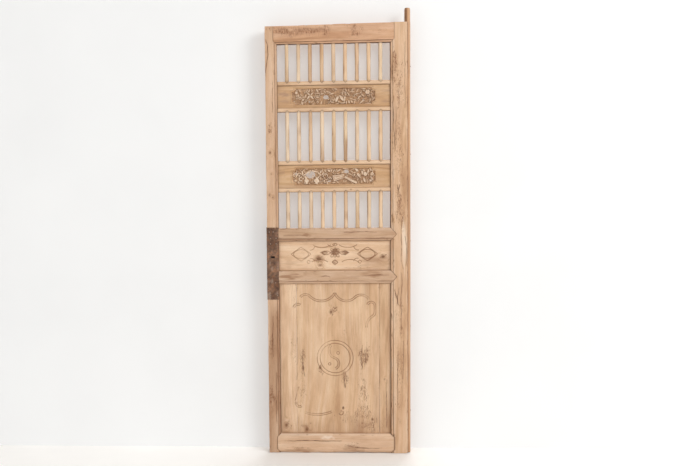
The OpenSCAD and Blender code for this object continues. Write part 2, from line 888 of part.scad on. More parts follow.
// Sheet bent round the latch stile
module iron_plate() {
    color(iron) difference() {
        block(
            [left_edge - plate_t, front - plate_t, plate_z],
            [open_l - bead_w * 0.1, leaf_t / 2 + plate_t, plate_top]
        );
        block([left_edge, front, plate_z - 1], [open_l + 1, leaf_t / 2, plate_top + 1]);
        block([left_edge + plate_back, 0, plate_z - 1], [open_l + 1, leaf_t, plate_top + 1]);
        on_face(front + 1) linear_extrude(plate_t + 3) slot_outline();
        plate_nail_shanks(fit_gap * 0.5);
    }
}

module plate_nail_shanks(grow = 0) {
    for (row = nail_rows) for (share = [row[1], row[2]]) {
        translate([nail_x(share), front - plate_t, nail_z(row)]) rotate([-90, 0, 0]) {
            translate([0, 0, -0.5]) cylinder(d = shank_d + 2 * grow, h = plate_nail_l + 0.5 + grow * 4, $fn = 20);
        }
    }
}

// Dome from the seat of a nail head outward along -Z
module nail_head(d, h) {
    r = (d * d / 4 + h * h) / (2 * h);
    intersection() {
        translate([0, 0, r - h]) sphere(r, $fn = 40);
        translate([0, 0, -h - 1]) cylinder(d = d + 1, h = h + 1, $fn = 32);
    }
}

module plate_nails() {
    color(iron) {
        plate_nail_shanks();
        for (row = nail_rows) for (share = [row[1], row[2]]) {
            translate([nail_x(share), front - plate_t, nail_z(row)]) rotate([-90, 0, 0]) nail_head(head_d, head_h);
        }
    }
}

function pole_nail_z(i) = leaf_h * (i + 0.5) / pole_nail_count;

module pole_nail_shanks(grow = 0) {
    for (i = [0:pole_nail_count - 1]) {
        translate([pole_x + pole_d / 2 - head_sink, 0, pole_nail_z(i)]) rotate([0, -90, 0]) {
            translate([0, 0, -0.5]) cylinder(d = shank_d + 2 * grow, h = pole_nail_l + 0.5 + grow * 4, $fn = 20);
            if (grow > 0) translate([0, 0, -2]) cylinder(d = head_d + 2 * grow, h = 2, $fn = 32);
        }
    }
}

module pole_nails() {
    color(iron) {
        pole_nail_shanks();
        for (i = [0:pole_nail_count - 1]) {
            translate([pole_x + pole_d / 2 - head_sink, 0, pole_nail_z(i)]) rotate([0, -90, 0]) nail_head(head_d, head_h);
        }
    }
}

left_stile();
right_stile();
pivot_pole();
top_rail();
lock_rail();
waist_rail();
bottom_rail();
slim_rail(slim_1_z, 1, upper_board_z, upper_board_h);  // lattice_rail_1
slim_rail(slim_2_z, -1, upper_board_z, upper_board_h);  // lattice_rail_2
slim_rail(slim_3_z, 1, lower_board_z, lower_board_h);  // lattice_rail_3
slim_rail(slim_4_z, -1, lower_board_z, lower_board_h);  // lattice_rail_4
upper_carved_board();
lower_carved_board();
waist_panel();
left_plank();
centre_plank();
right_plank();
back_batten(batten_z[0]);  // back_batten_1
back_batten(batten_z[1]);  // back_batten_2
iron_plate();
plate_nails();
pole_nails();
for (i = [1:bar_count]) {
    bar(i, slim_1_z + slim_h, top_window_h, true, false);
    bar(i, slim_3_z + slim_h, middle_window_h, true, true);
    bar(i, lock_rail_z + lock_rail_h, bottom_window_h, false, true);
}
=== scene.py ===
import math
from types import SimpleNamespace

import bpy
import numpy as np
from mathutils import Matrix, Vector


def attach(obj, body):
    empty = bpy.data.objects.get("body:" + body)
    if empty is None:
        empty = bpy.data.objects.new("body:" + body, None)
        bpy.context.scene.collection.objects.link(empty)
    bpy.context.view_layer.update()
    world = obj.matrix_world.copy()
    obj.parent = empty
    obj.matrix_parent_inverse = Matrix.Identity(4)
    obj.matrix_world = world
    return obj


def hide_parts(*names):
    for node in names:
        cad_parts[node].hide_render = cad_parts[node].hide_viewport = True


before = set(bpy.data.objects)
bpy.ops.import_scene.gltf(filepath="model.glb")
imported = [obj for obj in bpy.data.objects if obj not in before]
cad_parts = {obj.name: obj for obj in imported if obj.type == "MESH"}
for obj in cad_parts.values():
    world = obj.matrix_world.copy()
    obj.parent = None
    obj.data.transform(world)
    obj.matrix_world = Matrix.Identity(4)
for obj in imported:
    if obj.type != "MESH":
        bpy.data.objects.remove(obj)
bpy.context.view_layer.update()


# Latch stile: the left upright, a straight elm post planed by hand and rubbed by years of use.
# Its inner edge carries a quirked bead, and the rail faces are let into it with mitred ends.
# Lengths are millimetres in the shared frame; meshes, the studio and the camera are in metres.
FRONT = -22.0
LEAF_H, LEAF_T = 1715.0, 44.0
LATCH_X, LATCH_W = -285.0, 47.0
OPEN_L, OPEN_R = LATCH_X + LATCH_W, 206.0
TOP_H, LOCK_H, WAIST_H, BOTTOM_H = 77.0, 50.0, 51.0, 78.0
TOP_Z, LOCK_Z, WAIST_Z = LEAF_H - TOP_H, 861.0, 690.0
LAP = 14.0  # how far the faces of the top and bottom rails lap over a stile
ARROW = 0.46  # length of a middle rail's arrow point, as a share of the rail's height


def noise(x, y, z, seed):
    """Smooth random field from -1 to 1: a hashed value at each whole-number corner, blended by a cubic."""
    x, y, z = np.broadcast_arrays(x, y, z)
    place = np.stack([x, y, z], -1).astype(float)
    cell = np.floor(place)
    f = place - cell
    f = f * f * (3 - 2 * f)
    cell = cell.astype(np.int64)
    total = np.zeros(x.shape)
    for i, j, k in np.ndindex(2, 2, 2):
        h = (cell[..., 0] + i) * 73856093 ^ (cell[..., 1] + j) * 19349663 ^ (cell[..., 2] + k) * 83492791
        h = (h ^ (seed * 2654435761)) & 0x7FFFFFFF
        h = ((h ^ (h >> 15)) * 2246822519) & 0x7FFFFFFF
        h = ((h ^ (h >> 13)) * 3266489917) & 0x7FFFFFFF
        h = (h ^ (h >> 16)) & 0xFFFF
        weight = np.abs(1 - i - f[..., 0]) * np.abs(1 - j - f[..., 1]) * np.abs(1 - k - f[..., 2])
        total += weight * (h / 32767.5 - 1)
    return total


def ramp(value, low, high):
    """0 below low, 1 above high, a straight line between."""
    return np.clip((value - low) / (high - low), 0, 1)


def spaced(low, high, step, fine=1.0, zones=()):
    """Stations from low to high, a step apart, or a fine step inside the zones (middle, half length)."""
    s = np.linspace(low, high, 6000)
    size = np.full_like(s, step)
    for middle, half in zones:
        size[np.abs(s - middle) < half] = fine
    count = np.concatenate([[0], np.cumsum(np.diff(s) / size[1:])])
    return np.interp(np.linspace(0, count[-1], int(round(count[-1])) + 1), count, s)


def outline(corners):
    """Closed section. Each corner (across, back, radius, step) is rounded by a quadratic curve, and the
    edge that follows is divided by the step. Also gives nearness to a corner, which fades over 3 mm."""
    c = np.array(corners, float)
    at, radius, step = c[:, :2], c[:, 2:3], c[:, 3]
    ahead = np.roll(at, -1, 0) - at
    ahead /= np.linalg.norm(ahead, axis=1, keepdims=True)
    enter, leave = at - np.roll(ahead, 1, 0) * radius, at + ahead * radius
    points, edge = [], []
    for i in range(len(at)):
        bends = 1 if radius[i, 0] == 0 else 3 if radius[i, 0] <= 1 else 4
        s = np.linspace(0, 1, bends)[:, None]
        goal = enter[(i + 1) % len(at)]
        gap = np.linalg.norm(goal - leave[i])
        t = np.linspace(0, 1, max(1, round(gap / step[i])) + 1)[1:-1, None]
        curve = (1 - s) ** 2 * enter[i] + 2 * s * (1 - s) * at[i] + s ** 2 * leave[i]
        points += [curve, leave[i] + (goal - leave[i]) * t]
        edge += [np.full(len(s), min(1.0, radius[i, 0])), np.exp(-gap * np.minimum(t, 1 - t)[:, 0] / 3)]
    return np.concatenate(points), np.concatenate(edge)


def timber(corners, stations, low=None, high=None):
    """A section carried along a straight line. low and high give, for the section's points, where the two
    ends are cut. Every point keeps its place across, back and along, and starts clean: no lift, dirt, stain
    or wear. groove is how far it lies to one side or the other of a cut line, and split the same of a
    crack, in widths."""
    section, edge = outline(corners)
    ahead = np.roll(section, -1, 0) - np.roll(section, 1, 0)
    ahead /= np.linalg.norm(ahead, axis=1, keepdims=True)
    across, back = section.T
    turn = np.sign(np.sum(across * np.roll(back, -1) - np.roll(across, -1) * back))
    share = (stations - stations[0]) / np.ptp(stations)
    low = stations[0] if low is None else low(across, back)
    high = stations[-1] if high is None else high(across, back)
    along = low + (high - low) * share[:, None] + np.zeros(len(across))
    p = SimpleNamespace(along=along)
    p.across, p.back, p.edge = (value + 0 * along for value in (across, back, edge))
    p.out = np.stack([ahead[:, 1], -ahead[:, 0]], 1) * turn
    p.front = ramp(-p.out[:, 1], 0.3, 0.8) + 0 * along
    p.lift, p.dirt, p.stain, p.pale, p.torn, p.worn, p.turn = (np.zeros_like(along) for _ in range(7))
    p.groove, p.split = np.full_like(along, 9.0), np.full_like(along, 9.0)
    return p


def weather(p, seed, wave=0.35, chips=0.8):
    """Planed by hand, then long used: broad hollows along the grain, rubbed arrises, a nick here and there,
    and the back dulled by grime."""
    a, b, z = p.across, p.back, p.along
    p.lift += wave * noise(a / 24, b / 24, z / 140, seed) + 0.16 * noise(a / 5, b / 5, z / 60, seed + 1)
    rub = ramp(noise(a / 12, b / 12, z / 45, seed + 2), -0.4, 0.8)
    nick = ramp(noise(a / 6, b / 6, z / 12, seed + 3), 0.45, 0.9)
    p.lift -= chips * p.edge * (rub + 2.2 * nick)
    p.pale += 0.7 * p.edge * rub
    p.dirt += 0.5 * p.edge * nick
    p.stain += 0.35 * ramp(noise(a / 40, b / 40, z / 170, seed + 4), 0.15, 0.9)
    grime = ramp(p.out[:, 1], 0.2, 0.8) * (0.5 + 0.5 * noise(a / 7, 5, z / 150, seed + 5))
    p.stain += 0.9 * grime
    p.dirt += 0.3 * grime


def add_grime_and_shade(p, amount):
    """Darkening as deep as the amount, where it isn't deeper already: grime packed into nicks and joints,
    and painted shade at the calls marked so.
    """
    p.dirt = np.maximum(p.dirt, amount)


def nearest(*gaps):
    """The gap of smallest size at each point, its sign kept."""
    best = gaps[0]
    for gap in gaps[1:]:
        best = np.where(np.abs(gap) < np.abs(best), gap, best)
    return best


def crack(p, path, width, depth):
    """A check that follows the grain through the points (across, along), closing towards both ends."""
    path = np.array(path, float)
    path = path[np.argsort(path[:, 1])]
    share = ramp(p.along, path[0, 1], path[-1, 1])
    wide = 0.42 * (width + 0.3) * np.sqrt(np.clip(4 * share * (1 - share), 0, 1))
    wide = np.maximum(wide * (0.85 + 0.5 * noise(p.along / 11, path[0, 0], 6, 5)), 0.05)
    middle = np.interp(p.along, path[:, 1], path[:, 0]) + 0.9 * noise(p.along / 16, path[0, 0], 0, 5)
    off = p.across - middle
    on = (p.front > 0.5) * (share > 0) * (share < 1)
    p.lift -= depth * ramp(wide - np.abs(off), -0.9, 0.4) * on
    p.split = nearest(p.split, np.where(on, off / wide, 9.0))
    p.stain += 0.35 * ramp(wide - np.abs(off), -4, 0) * on


def blot(p, across, along, wide, tall, strength, seed):
    """Strength of a stain: an ellipse whose border is made ragged by the random field."""
    d = np.hypot((p.across - across) / wide, (p.along - along) / tall)
    d = d + 0.55 * noise(p.across / (0.45 * wide), 7, p.along / (0.45 * tall), seed)
    return strength * ramp(-d, -1.2, -0.35) * p.front


def knot(p, across, along, size, strength=0.75):
    """A knot: a dark eye with a paler ring, and the grain turned aside around it."""
    d = np.hypot((p.across - across) / size, (p.along - along) / (1.35 * size))
    p.turn += 2.6 * size * np.exp(-0.5 * (d / 1.5) ** 2)
    add_grime_and_shade(p, strength * ramp(-d, -0.85, -0.4) * p.front)
    p.stain = np.maximum(p.stain, 0.8 * strength * ramp(-d, -1.9, -0.9) * p.front)
    if strength > 0.83:
        wander = noise(p.across / (0.8 * size), along, p.along / (0.8 * size), 9)
        ring = (d - 0.9) * size / 0.45 + 3 * wander
        star = np.where(d < 0.9, (p.across - across - 0.3 * (p.along - along)) / 0.4, 9.0)
        p.split = nearest(p.split, np.where(p.front > 0.5, nearest(ring, star), 9.0))
    p.lift -= 0.7 * ramp(-d, -0.9, -0.4) * p.front


def scuff(p, across, along, wide, tall, strength, seed):
    """A roughened patch: short dark flecks torn along the grain inside a ragged ellipse."""
    torn = blot(p, across, along, wide, tall, strength, seed)
    p.stain += 0.12 * torn
    p.torn = np.maximum(p.torn, torn)
    p.lift -= 0.5 * torn * ramp(noise(p.across / 4, 2, p.along / 12, seed + 1), -0.2, 0.6)


def grain_of(p, seed, pith, sway=9.0):
    """Where each point lies in the log: its distance from a pith that wanders along the piece, its place
    across, and its place along."""
    drift = sway * noise(p.along / 380, 0, 0, seed) + 2 * noise(p.along / 85, p.across / 50, 0, seed + 1)
    sink = 0.6 * sway * noise(p.along / 300, 3, 0, seed + 2)
    radius = np.hypot(p.across - pith[0] - drift, p.back - pith[1] - sink) + p.turn
    return np.stack([radius, p.across + 0.8 * p.back + 31 * seed, p.along + 977 * seed], -1)


def solid(name, points, faces, marks):
    """A closed mesh object from points in millimetres, arrays of faces and point marks. Faces that would
    enclose a negative volume are turned outwards."""
    fan = np.concatenate([f[:, [0, i, i + 1]] for f in faces for i in range(1, f.shape[1] - 1)])
    a, b, c = (points[fan[:, i]] for i in range(3))
    if np.sum(a * np.cross(b, c)) < 0:
        faces = [f[:, ::-1] for f in faces]
    mesh = bpy.data.meshes.new(name.replace("_", "-"))
    mesh.vertices.add(len(points))
    mesh.vertices.foreach_set("co", (points * 0.001).astype(np.float32).ravel())
    corner = np.concatenate([f.ravel() for f in faces]).astype(np.int32)
    size = np.concatenate([np.full(len(f), f.shape[1]) for f in faces])
    mesh.loops.add(len(corner))
    mesh.loops.foreach_set("vertex_index", corner)
    mesh.polygons.add(len(size))
    mesh.polygons.foreach_set("loop_start", np.concatenate([[0], np.cumsum(size)[:-1]]).astype(np.int32))
    mesh.polygons.foreach_set("use_smooth", np.ones(len(size), bool))
    for mark, values in marks.items():
        kind = "FLOAT_VECTOR" if values.ndim == 2 else "FLOAT"
        layer = mesh.attributes.new(mark, kind, "POINT")
        layer.data.foreach_set("vector" if values.ndim == 2 else "value", values.astype(np.float32).ravel())
    mesh.update(calc_edges=True)
    mesh.set_sharp_from_angle(angle=math.radians(48))
    piece = bpy.data.objects.new(name.replace("_", "-"), mesh)
    bpy.context.scene.collection.objects.link(piece)
    return piece


def ring_faces(rows, columns):
    """Faces of a skin of closed rings: its quads, then the fans to two last points, the ends' middles."""
    number = np.arange(rows * columns).reshape(rows, columns)
    side = np.roll(number, -1, 1)
    skin = np.stack([number[:-1], side[:-1], side[1:], number[1:]], -1).reshape(-1, 4)
    feet = np.stack([side[0], number[0], np.full(columns, rows * columns)], 1)
    head = np.stack([number[-1], side[-1], np.full(columns, rows * columns + 1)], 1)
    return skin, np.concatenate([feet, head])


def hewn(name, p, grain, points):
    """The swept surface as a solid: points is its grid in space, and a fan closes each end."""
    rows, columns = p.along.shape

    def closed(values):
        """The grid's values, then the mean of its first row and of its last, for the two ends' middles."""
        values = values.reshape(rows, columns, -1)
        return np.concatenate([values.reshape(rows * columns, -1), values[[0, -1]].mean(1)])

    marks = {"grain": closed(grain)}
    marks["cut"] = closed(np.stack([np.clip(p.groove, -9, 9), np.clip(p.split, -9, 9), p.worn], -1))
    p.grooved, p.cracked = np.abs(p.groove) < 2.05, np.abs(p.split) < 5
    for mark in ("dirt", "stain", "pale", "torn", "grooved", "cracked"):
        marks[mark] = closed(np.clip(getattr(p, mark), 0.0, 1.0))[:, 0]
    return solid(name, closed(points), ring_faces(rows, columns), marks)


def upright(name, p, grain, x0, front=FRONT):
    """Stands a swept piece upright, across to +X and along to +Z, each point lifted along its normal."""
    x = x0 + p.across + p.lift * p.out[:, 0]
    y = front + p.back + p.lift * p.out[:, 1]
    return hewn(name, p, grain, np.stack([x, y, p.along], -1))


def linear(code):
    """sRGB hex to linear RGBA."""
    part = [int(code[i:i + 2], 16) / 255 for i in (1, 3, 5)]
    return [v / 12.92 if v <= 0.04045 else ((v + 0.055) / 1.055) ** 2.4 for v in part] + [1.0]


def add(tree, kind, inputs=(), out=0, stops=(), **settings):
    """Adds one node with its settings, and with its stops (place, linear colour) where it is a colour ramp.
    Inputs are linked where they are sockets and set where they are values."""
    node = tree.nodes.new("ShaderNode" + kind)
    for key, value in settings.items():
        setattr(node, key, value)
    for key, value in dict(inputs).items():
        if isinstance(value, bpy.types.NodeSocket):
            tree.links.new(value, node.inputs[key])
        else:
            node.inputs[key].default_value = value
    for i, (place, colour) in enumerate(stops):
        points = node.color_ramp.elements
        point = points[i] if i < len(points) else points.new(place)
        point.position, point.color = place, colour
    return node.outputs[out]


def elm(name, tone, dirt="#6b4525", stain="#9a6f4f", rubbed=None, rough=0.66,
        tear=(0.24, 0.24, 0.10), figure=1.0):
    """Old elm, scrubbed back and lightly waxed. The eye sees soft bands of early and late wood, short dark
    pore lines along the grain, warm blotches, stains in hollows and paler wood where arrises are rubbed.
    Its darkening layers also hold painted shade, and its paling layer a painted highlight, where a piece
    marks them so. tear is the fineness of the torn flecks, and figure how strongly the late wood shows."""
    body = np.array(linear(tone))
    deep = body * (0.70, 0.62, 0.53, 1)
    late = body + figure * (deep - body)
    pale = 1 - (1 - body) * (0.84, 0.88, 0.90, 1)
    material = bpy.data.materials.new(name)
    material.use_nodes = True
    t = material.node_tree
    t.nodes.clear()
    part = {key: add(t, "Attribute", out="Fac", attribute_name=key)
            for key in ("dirt", "stain", "pale", "torn", "grooved", "cracked")}
    grain, cut = (add(t, "Attribute", out="Vector", attribute_name=key) for key in ("grain", "cut"))
    part["aside"], part["beside"], part["worn"] = add(t, "SeparateXYZ", {0: cut}, slice(0, 3))
    for key in ("aside", "beside"):
        part[key] = add(t, "Math", {0: part[key]}, operation="ABSOLUTE")
    # Noises across the rings, across the face and along the grain, in cycles for each millimetre. Elm's
    # pores and fibres are a few tenths of a millimetre wide: they are drawn some 2 mm and 0.6 mm wide, so
    # that they show.
    for key, scale, detail, roughness in (
        ("band", (0.15, 0.012, 0.0016), 5.0, 0.68), ("pore", (0.5, 0.5, 0.012), 4.0, 0.65),
        ("fleck", (2.6, 2.6, 0.12), 3.0, 0.6), ("blotch", (0.02, 0.02, 0.0055), 3.0, 0.6),
        ("tear", tear, 4.0, 0.8), ("fibre", (1.6, 1.6, 0.05), 2.0, 0.6),
    ):
        place = add(t, "Mapping", {"Vector": grain, "Scale": scale})
        values = {"Vector": place, "Scale": 1.0, "Detail": detail, "Roughness": roughness}
        part[key] = add(t, "TexNoise", values)
    # Values with ragged borders: each is the second one plus a share of the first.
    for key, first, share, second in (
        ("soil", "pore", 0.7, "stain"), ("rough", "torn", 0.22, "tear"), ("ripped", "fibre", 0.22, "rough"),
        ("grime", "fleck", 0.5, "dirt"), ("line", "worn", -1.2, "aside"), ("groove", "fleck", 0.5, "line"),
        ("split", "fleck", 0.6, "beside"),
    ):
        part[key] = add(t, "Math", {0: part[first], 1: share, 2: part[second]}, operation="MULTIPLY_ADD")
    bands = ((0.30, late), (0.46, body), (0.60, pale), (0.80, body))
    base = add(t, "ValToRGB", {0: part["band"]}, stops=bands)
    shades = [(at, linear(code)) for at, code in ((0.3, "#e3d6cb"), (0.5, "#f7f1ec"), (0.68, "#ffffff"))]
    shade = add(t, "ValToRGB", {0: part["blotch"]}, stops=shades)
    base = add(t, "Mix", {0: 1.0, 6: base, 7: shade}, out=2, data_type="RGBA", blend_type="MULTIPLY")
    # Layers of colour from the wood up: a cover goes from start to end as its value goes from low to high.
    cover = {}
    for key, low, high, start, end, colour, within in (
        ("pore", 0.5, 0.76, 0.0, 0.5, deep, None),
        ("fleck", 0.58, 0.75, 0.0, 0.3, linear(stain), None),
        ("fibre", 0.52, 0.72, 0.0, 0.35, deep, None),
        # pale is rubbed wear, with a painted highlight where a piece marks it
        ("pale", 0.0, 1.0, 0.0, 0.7, linear(rubbed) if rubbed else pale, None),
        # soil paints the stain layer: stains, with painted shade where a piece marks it
        ("soil", 0.42, 1.5, 0.0, 0.9, linear(stain), None),
        ("ripped", 0.755, 0.9, 0.0, 0.85, linear("#80512f"), None),
        # grime paints the darkening layer: grime, with painted shade where a piece marks it
        ("grime", 0.28, 1.2, 0.0, 1.0, linear(dirt), None),
        ("groove", -0.35, 0.5, 0.6, 0.0, linear("#7d4f24"), "grooved"),
        ("split", 1.0, 1.7, 0.92, 0.0, linear("#4a2d17"), "cracked"),
    ):
        span = {"Value": part[key], "From Min": low, "From Max": high, "To Min": start, "To Max": end}
        cover[key] = add(t, "MapRange", span)
        if within:
            cover[key] = add(t, "Math", {0: cover[key], 1: part[within]}, operation="MULTIPLY")
        base = add(t, "Mix", {0: cover[key], 6: base, 7: colour}, out=2, data_type="RGBA")
    relief = add(t, "Math", {0: part["pore"], 1: part["band"], 2: part["fleck"]}, operation="MULTIPLY_ADD")
    cuts = add(t, "Math", {0: cover["groove"], 1: cover["split"]}, operation="MAXIMUM")
    for height, share in ((part["fibre"], 0.5), (cover["ripped"], -1.4), (cuts, -2.0)):
        relief = add(t, "Math", {0: height, 1: share, 2: relief}, operation="MULTIPLY_ADD")
    bump = add(t, "Bump", {"Height": relief, "Strength": 0.45, "Distance": 0.0006})
    span = {"From Min": 0.3, "From Max": 0.7, "To Min": rough - 0.08, "To Max": rough + 0.08}
    gloss = add(t, "MapRange", {"Value": part["blotch"], **span})
    shader = add(t, "BsdfPrincipled", {"Base Color": base, "Roughness": gloss, "IOR": 1.5, "Normal": bump})
    add(t, "OutputMaterial", {"Surface": shader}, out=slice(0, 0))
    return material


def fit(piece, slot, material, *nodes):
    """The piece is fixed in the leaf, stands for its CAD nodes, and takes the material as its finish. slot
    is not used.
    """
    piece.data.materials.append(material)
    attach(piece, "root")
    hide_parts(*nodes)


def bead(width, depth):
    """Section of a frame piece, its bead on the far edge: a sunk quirk line, then a three-quarter round."""
    return [(0, 0, 1.8, 1.5), (width - 10.4, 0, 0.8, 0.7), (width - 9.2, 3.4, 0.5, 0.8),
            (width - 7.6, 0.9, 1.3, 0.9), (width - 1.6, 0.6, 1.8, 1.0), (width, 3.2, 1.2, 7.0),
            (width, depth, 1.0, 12.0), (0, depth, 1.0, 9.0)]


TOP_DROP, TOP_SPAN = 6.0, 496.0


def fall(x):
    """How far the worn top edge has dropped at x, a straight line from the pivot stile down."""
    return TOP_DROP * np.clip((OPEN_R - x) / TOP_SPAN, 0, 1)


def lap_reach(z):
    """How far the rail faces lap over a stile at height z: two mitred laps and two arrow points."""
    reach = np.full_like(z, -30.0)
    reach = np.where(z > TOP_Z - 2, np.minimum(LAP, z - TOP_Z), reach)
    reach = np.where(z < BOTTOM_H + 2, np.minimum(LAP, np.minimum(z, BOTTOM_H - z)), reach)
    for low, height in ((LOCK_Z, LOCK_H), (WAIST_Z, WAIST_H)):
        share = 1 - np.abs(2 * (z - low) / height - 1)
        reach = np.where(share > -0.1, ARROW * height * share, reach)
    return reach


def let_in(p, inner):
    """Sinks the stile's face under the rail laps. inner is a point's distance from the opening's edge."""
    cover = (lap_reach(p.along) - inner) * 0.72
    p.lift -= 4.5 * ramp(cover, -1.1, 0.3) * p.front
    grime = np.where(p.along > TOP_Z - 30, 0.25, np.where(p.along > LOCK_Z - 30, 0.32, 0.5))
    add_grime_and_shade(p, grime * ramp(cover, -2.6, -0.4) * p.front)


def in_quirk(p, low, high, breaks, dirt):
    """Grime and painted shade in the quirk beside a stile's bead, from low to high across. breaks (stretch,
    seed, middle) part it along the stile, and the last argument is its depth beside the windows and beside
    the panels. Gives where the quirk runs beside the windows, because it is nearly closed there."""
    hollow = (p.across > low) * (p.across < high) * p.front
    beside_panels = ramp(LOCK_Z + LOCK_H - p.along, -19, 11)
    stretch, seed, middle = breaks
    broken = ramp(noise(p.across, 0, p.along / stretch, seed), middle - 0.5, middle + 0.5)
    add_grime_and_shade(p, hollow * broken * (dirt[0] + (dirt[1] - dirt[0]) * beside_panels))
    return hollow * (1 - beside_panels)


SLOT_X, SLOT_Z = 20.2, 797.0


def out_of_slot(p):
    """Distance outside the hasp's slot through plate and stile, less than nothing in it."""
    return np.maximum(np.abs(p.across - SLOT_X) - 9.5, np.abs(p.along - SLOT_Z) - 3.5)


# Middle and half length of the stretches round the joints, where the stations are closer.
joints = [(TOP_Z + 30, 46), (LOCK_Z + 25, 32), (WAIST_Z + 25, 32), (40, 42)]
stations = spaced(0, LEAF_H, 4.2, 1.8, joints)
p = timber(bead(LATCH_W, LEAF_T), stations, high=lambda a, b: LEAF_H - fall(LATCH_X + a))
weather(p, 11)
let_in(p, LATCH_W - p.across)
p.lift += 1.5 * in_quirk(p, 36, 39.5, (60, 3, 0.0), (0.3, 0.6))
crack(p, [(1, 1660), (11, 1637), (12.5, 1598), (6.5, 1566), (0, 1520)], 1.8, 2.4)
crack(p, [(30, 1500), (27, 1420), (28, 1370)], 0.9, 1.0)
crack(p, [(21, 560), (18, 470), (20, 390)], 1.1, 1.4)
crack(p, [(33, 330), (30, 220), (31, 120)], 1.0, 1.2)
for place in ((16, 1214, 5.0), (12, 1046, 3.6), (25, 1036, 3.4), (20, 1130, 2.4)):
    knot(p, *place)
for spot in ((15, 1303, 11, 30, 1.0, 4), (12, 440, 14, 60, 0.9, 5),
             (10, 240, 16, 50, 1.0, 7), (18, 1700, 14, 14, 0.7, 9)):
    scuff(p, *spot)
browned = ramp(-p.along, -640, -560) * ramp(noise(p.across / 16, 2, p.along / 120, 6), -1.1, 0.3)
p.stain += 0.7 * browned + blot(p, 36, 205, 18, 30, 0.8, 8)
p.stain += 0.3 * (p.across > 37.5) * p.front
# Painted shade on the stile's inner face along the openings.
add_grime_and_shade(p, 0.9 * ramp(p.out[:, 0], 0.5, 0.9) * (p.back > 2.0) * (p.across > 40))
slot_gap = out_of_slot(p)
p.lift -= 8 * ramp(-slot_gap, -1, 1) * p.front
stile_elm = elm("hand-planed old elm, stile", "#dbb898")
stile = upright("left_stile", p, grain_of(p, 1, (8, 90)), LATCH_X)
fit(stile, "stile_elm", stile_elm, "left_stile")


# Pivot stile: the right upright, wider, with a round hollow in its outer edge that holds the pivot pole.
# It has the same planed face and bead, but took more weather: bark-like stains and a long open split.
PIVOT_W = 67.0
POLE_X, POLE_R, POLE_H = OPEN_R + PIVOT_W, 12.0, 1770.0
COVE_R = POLE_R + 0.4


def hollowed(width, depth):
    """Section of the pivot stile: the beaded section turned about, its plain edge hollowed for the pole."""
    about = [(width - a, b, r, s) for a, b, r, s in bead(width, depth)]
    angles = np.radians(np.linspace(75, -75, 9))
    cove = [(width - COVE_R * math.cos(v), depth / 2 + COVE_R * math.sin(v), 0.0, 3.0) for v in angles]
    return about[:7] + [(width, depth, 2.0, 3.0)] + cove


p = timber(hollowed(PIVOT_W, LEAF_T), stations)
weather(p, 23, wave=0.45, chips=1.0)
let_in(p, p.across)
p.lift += 1.9 * in_quirk(p, 7.5, 11, (70, 13, -0.1), (0.2, 0.6))
for path, width in (
    (((10, 1385), (13, 1290), (18, 1215)), 1.4), (((22, 1390), (20, 1300), (22, 1235)), 0.9),
    (((52, 966), (44, 942), (40, 903), (42, 843), (41, 783), (50, 746)), 1.0),
    (((59, 757), (63, 800), (59, 850), (55, 880)), 1.1),
    (((41, 735), (44, 690), (39, 625), (42, 580), (40, 500)), 0.9),
    (((14, 668), (20, 640), (31, 598)), 1.4), (((32, 675), (26, 630), (24, 600)), 0.9),
    (((37, 1085), (30, 1058), (28, 1040)), 1.6), (((25, 1085), (28, 1055), (27, 1030)), 1.3),
    (((28, 420), (25, 300), (27, 180)), 1.0), (((48, 460), (50, 380), (47, 300)), 0.9),
    (((57, 1640), (55, 1500), (57, 1380)), 0.8), (((36, 1490), (32, 1440), (34, 1400)), 0.4),
):
    crack(p, path, width, 1.5 * width)
for place in ((34, 1478, 4.5, 0.4), (30, 1420, 4.0, 0.4), (50, 1412, 2.5, 0.4), (38, 1180, 3.0, 0.5)):
    knot(p, *place)
for spot in (
    (17, 1548, 15, 60, 1.3, 21), (12, 1490, 8, 26, 0.9, 22), (32, 1300, 12, 60, 0.7, 23),
    (30, 1000, 14, 56, 1.2, 24), (22, 960, 12, 30, 0.7, 25), (20, 630, 13, 40, 0.9, 26),
    (28, 200, 16, 60, 0.6, 28), (40, 1450, 22, 120, 0.7, 30), (38, 1190, 24, 140, 0.6, 30),
    (44, 960, 18, 100, 0.75, 30), (38, 560, 22, 110, 0.7, 30), (38, 340, 24, 140, 0.6, 30),
):
    scuff(p, *spot)
laid_bare = blot(p, 54, 855, 11, 95, 1.0, 27)
p.lift -= 1.2 * laid_bare
p.pale += laid_bare
p.stain += 0.25 * (p.across < 9.5) * p.front
# Painted shade on the stile's inner face along the openings.
add_grime_and_shade(p, ramp(-p.out[:, 0], 0.5, 0.9) * (p.back > 2.0))
add_grime_and_shade(p, 0.7 * ramp(p.across, 64.4, 66.2) * ramp(noise(0, 0, p.along / 40, 29), -0.9, 0.3))
pivot_elm = elm("hand-planed old elm, weathered stile", "#deba97", rubbed="#f3dfc8")
stile = upright("right_stile", p, grain_of(p, 2, (60, 75)), OPEN_R)
fit(stile, "stile_elm", pivot_elm, "right_stile")


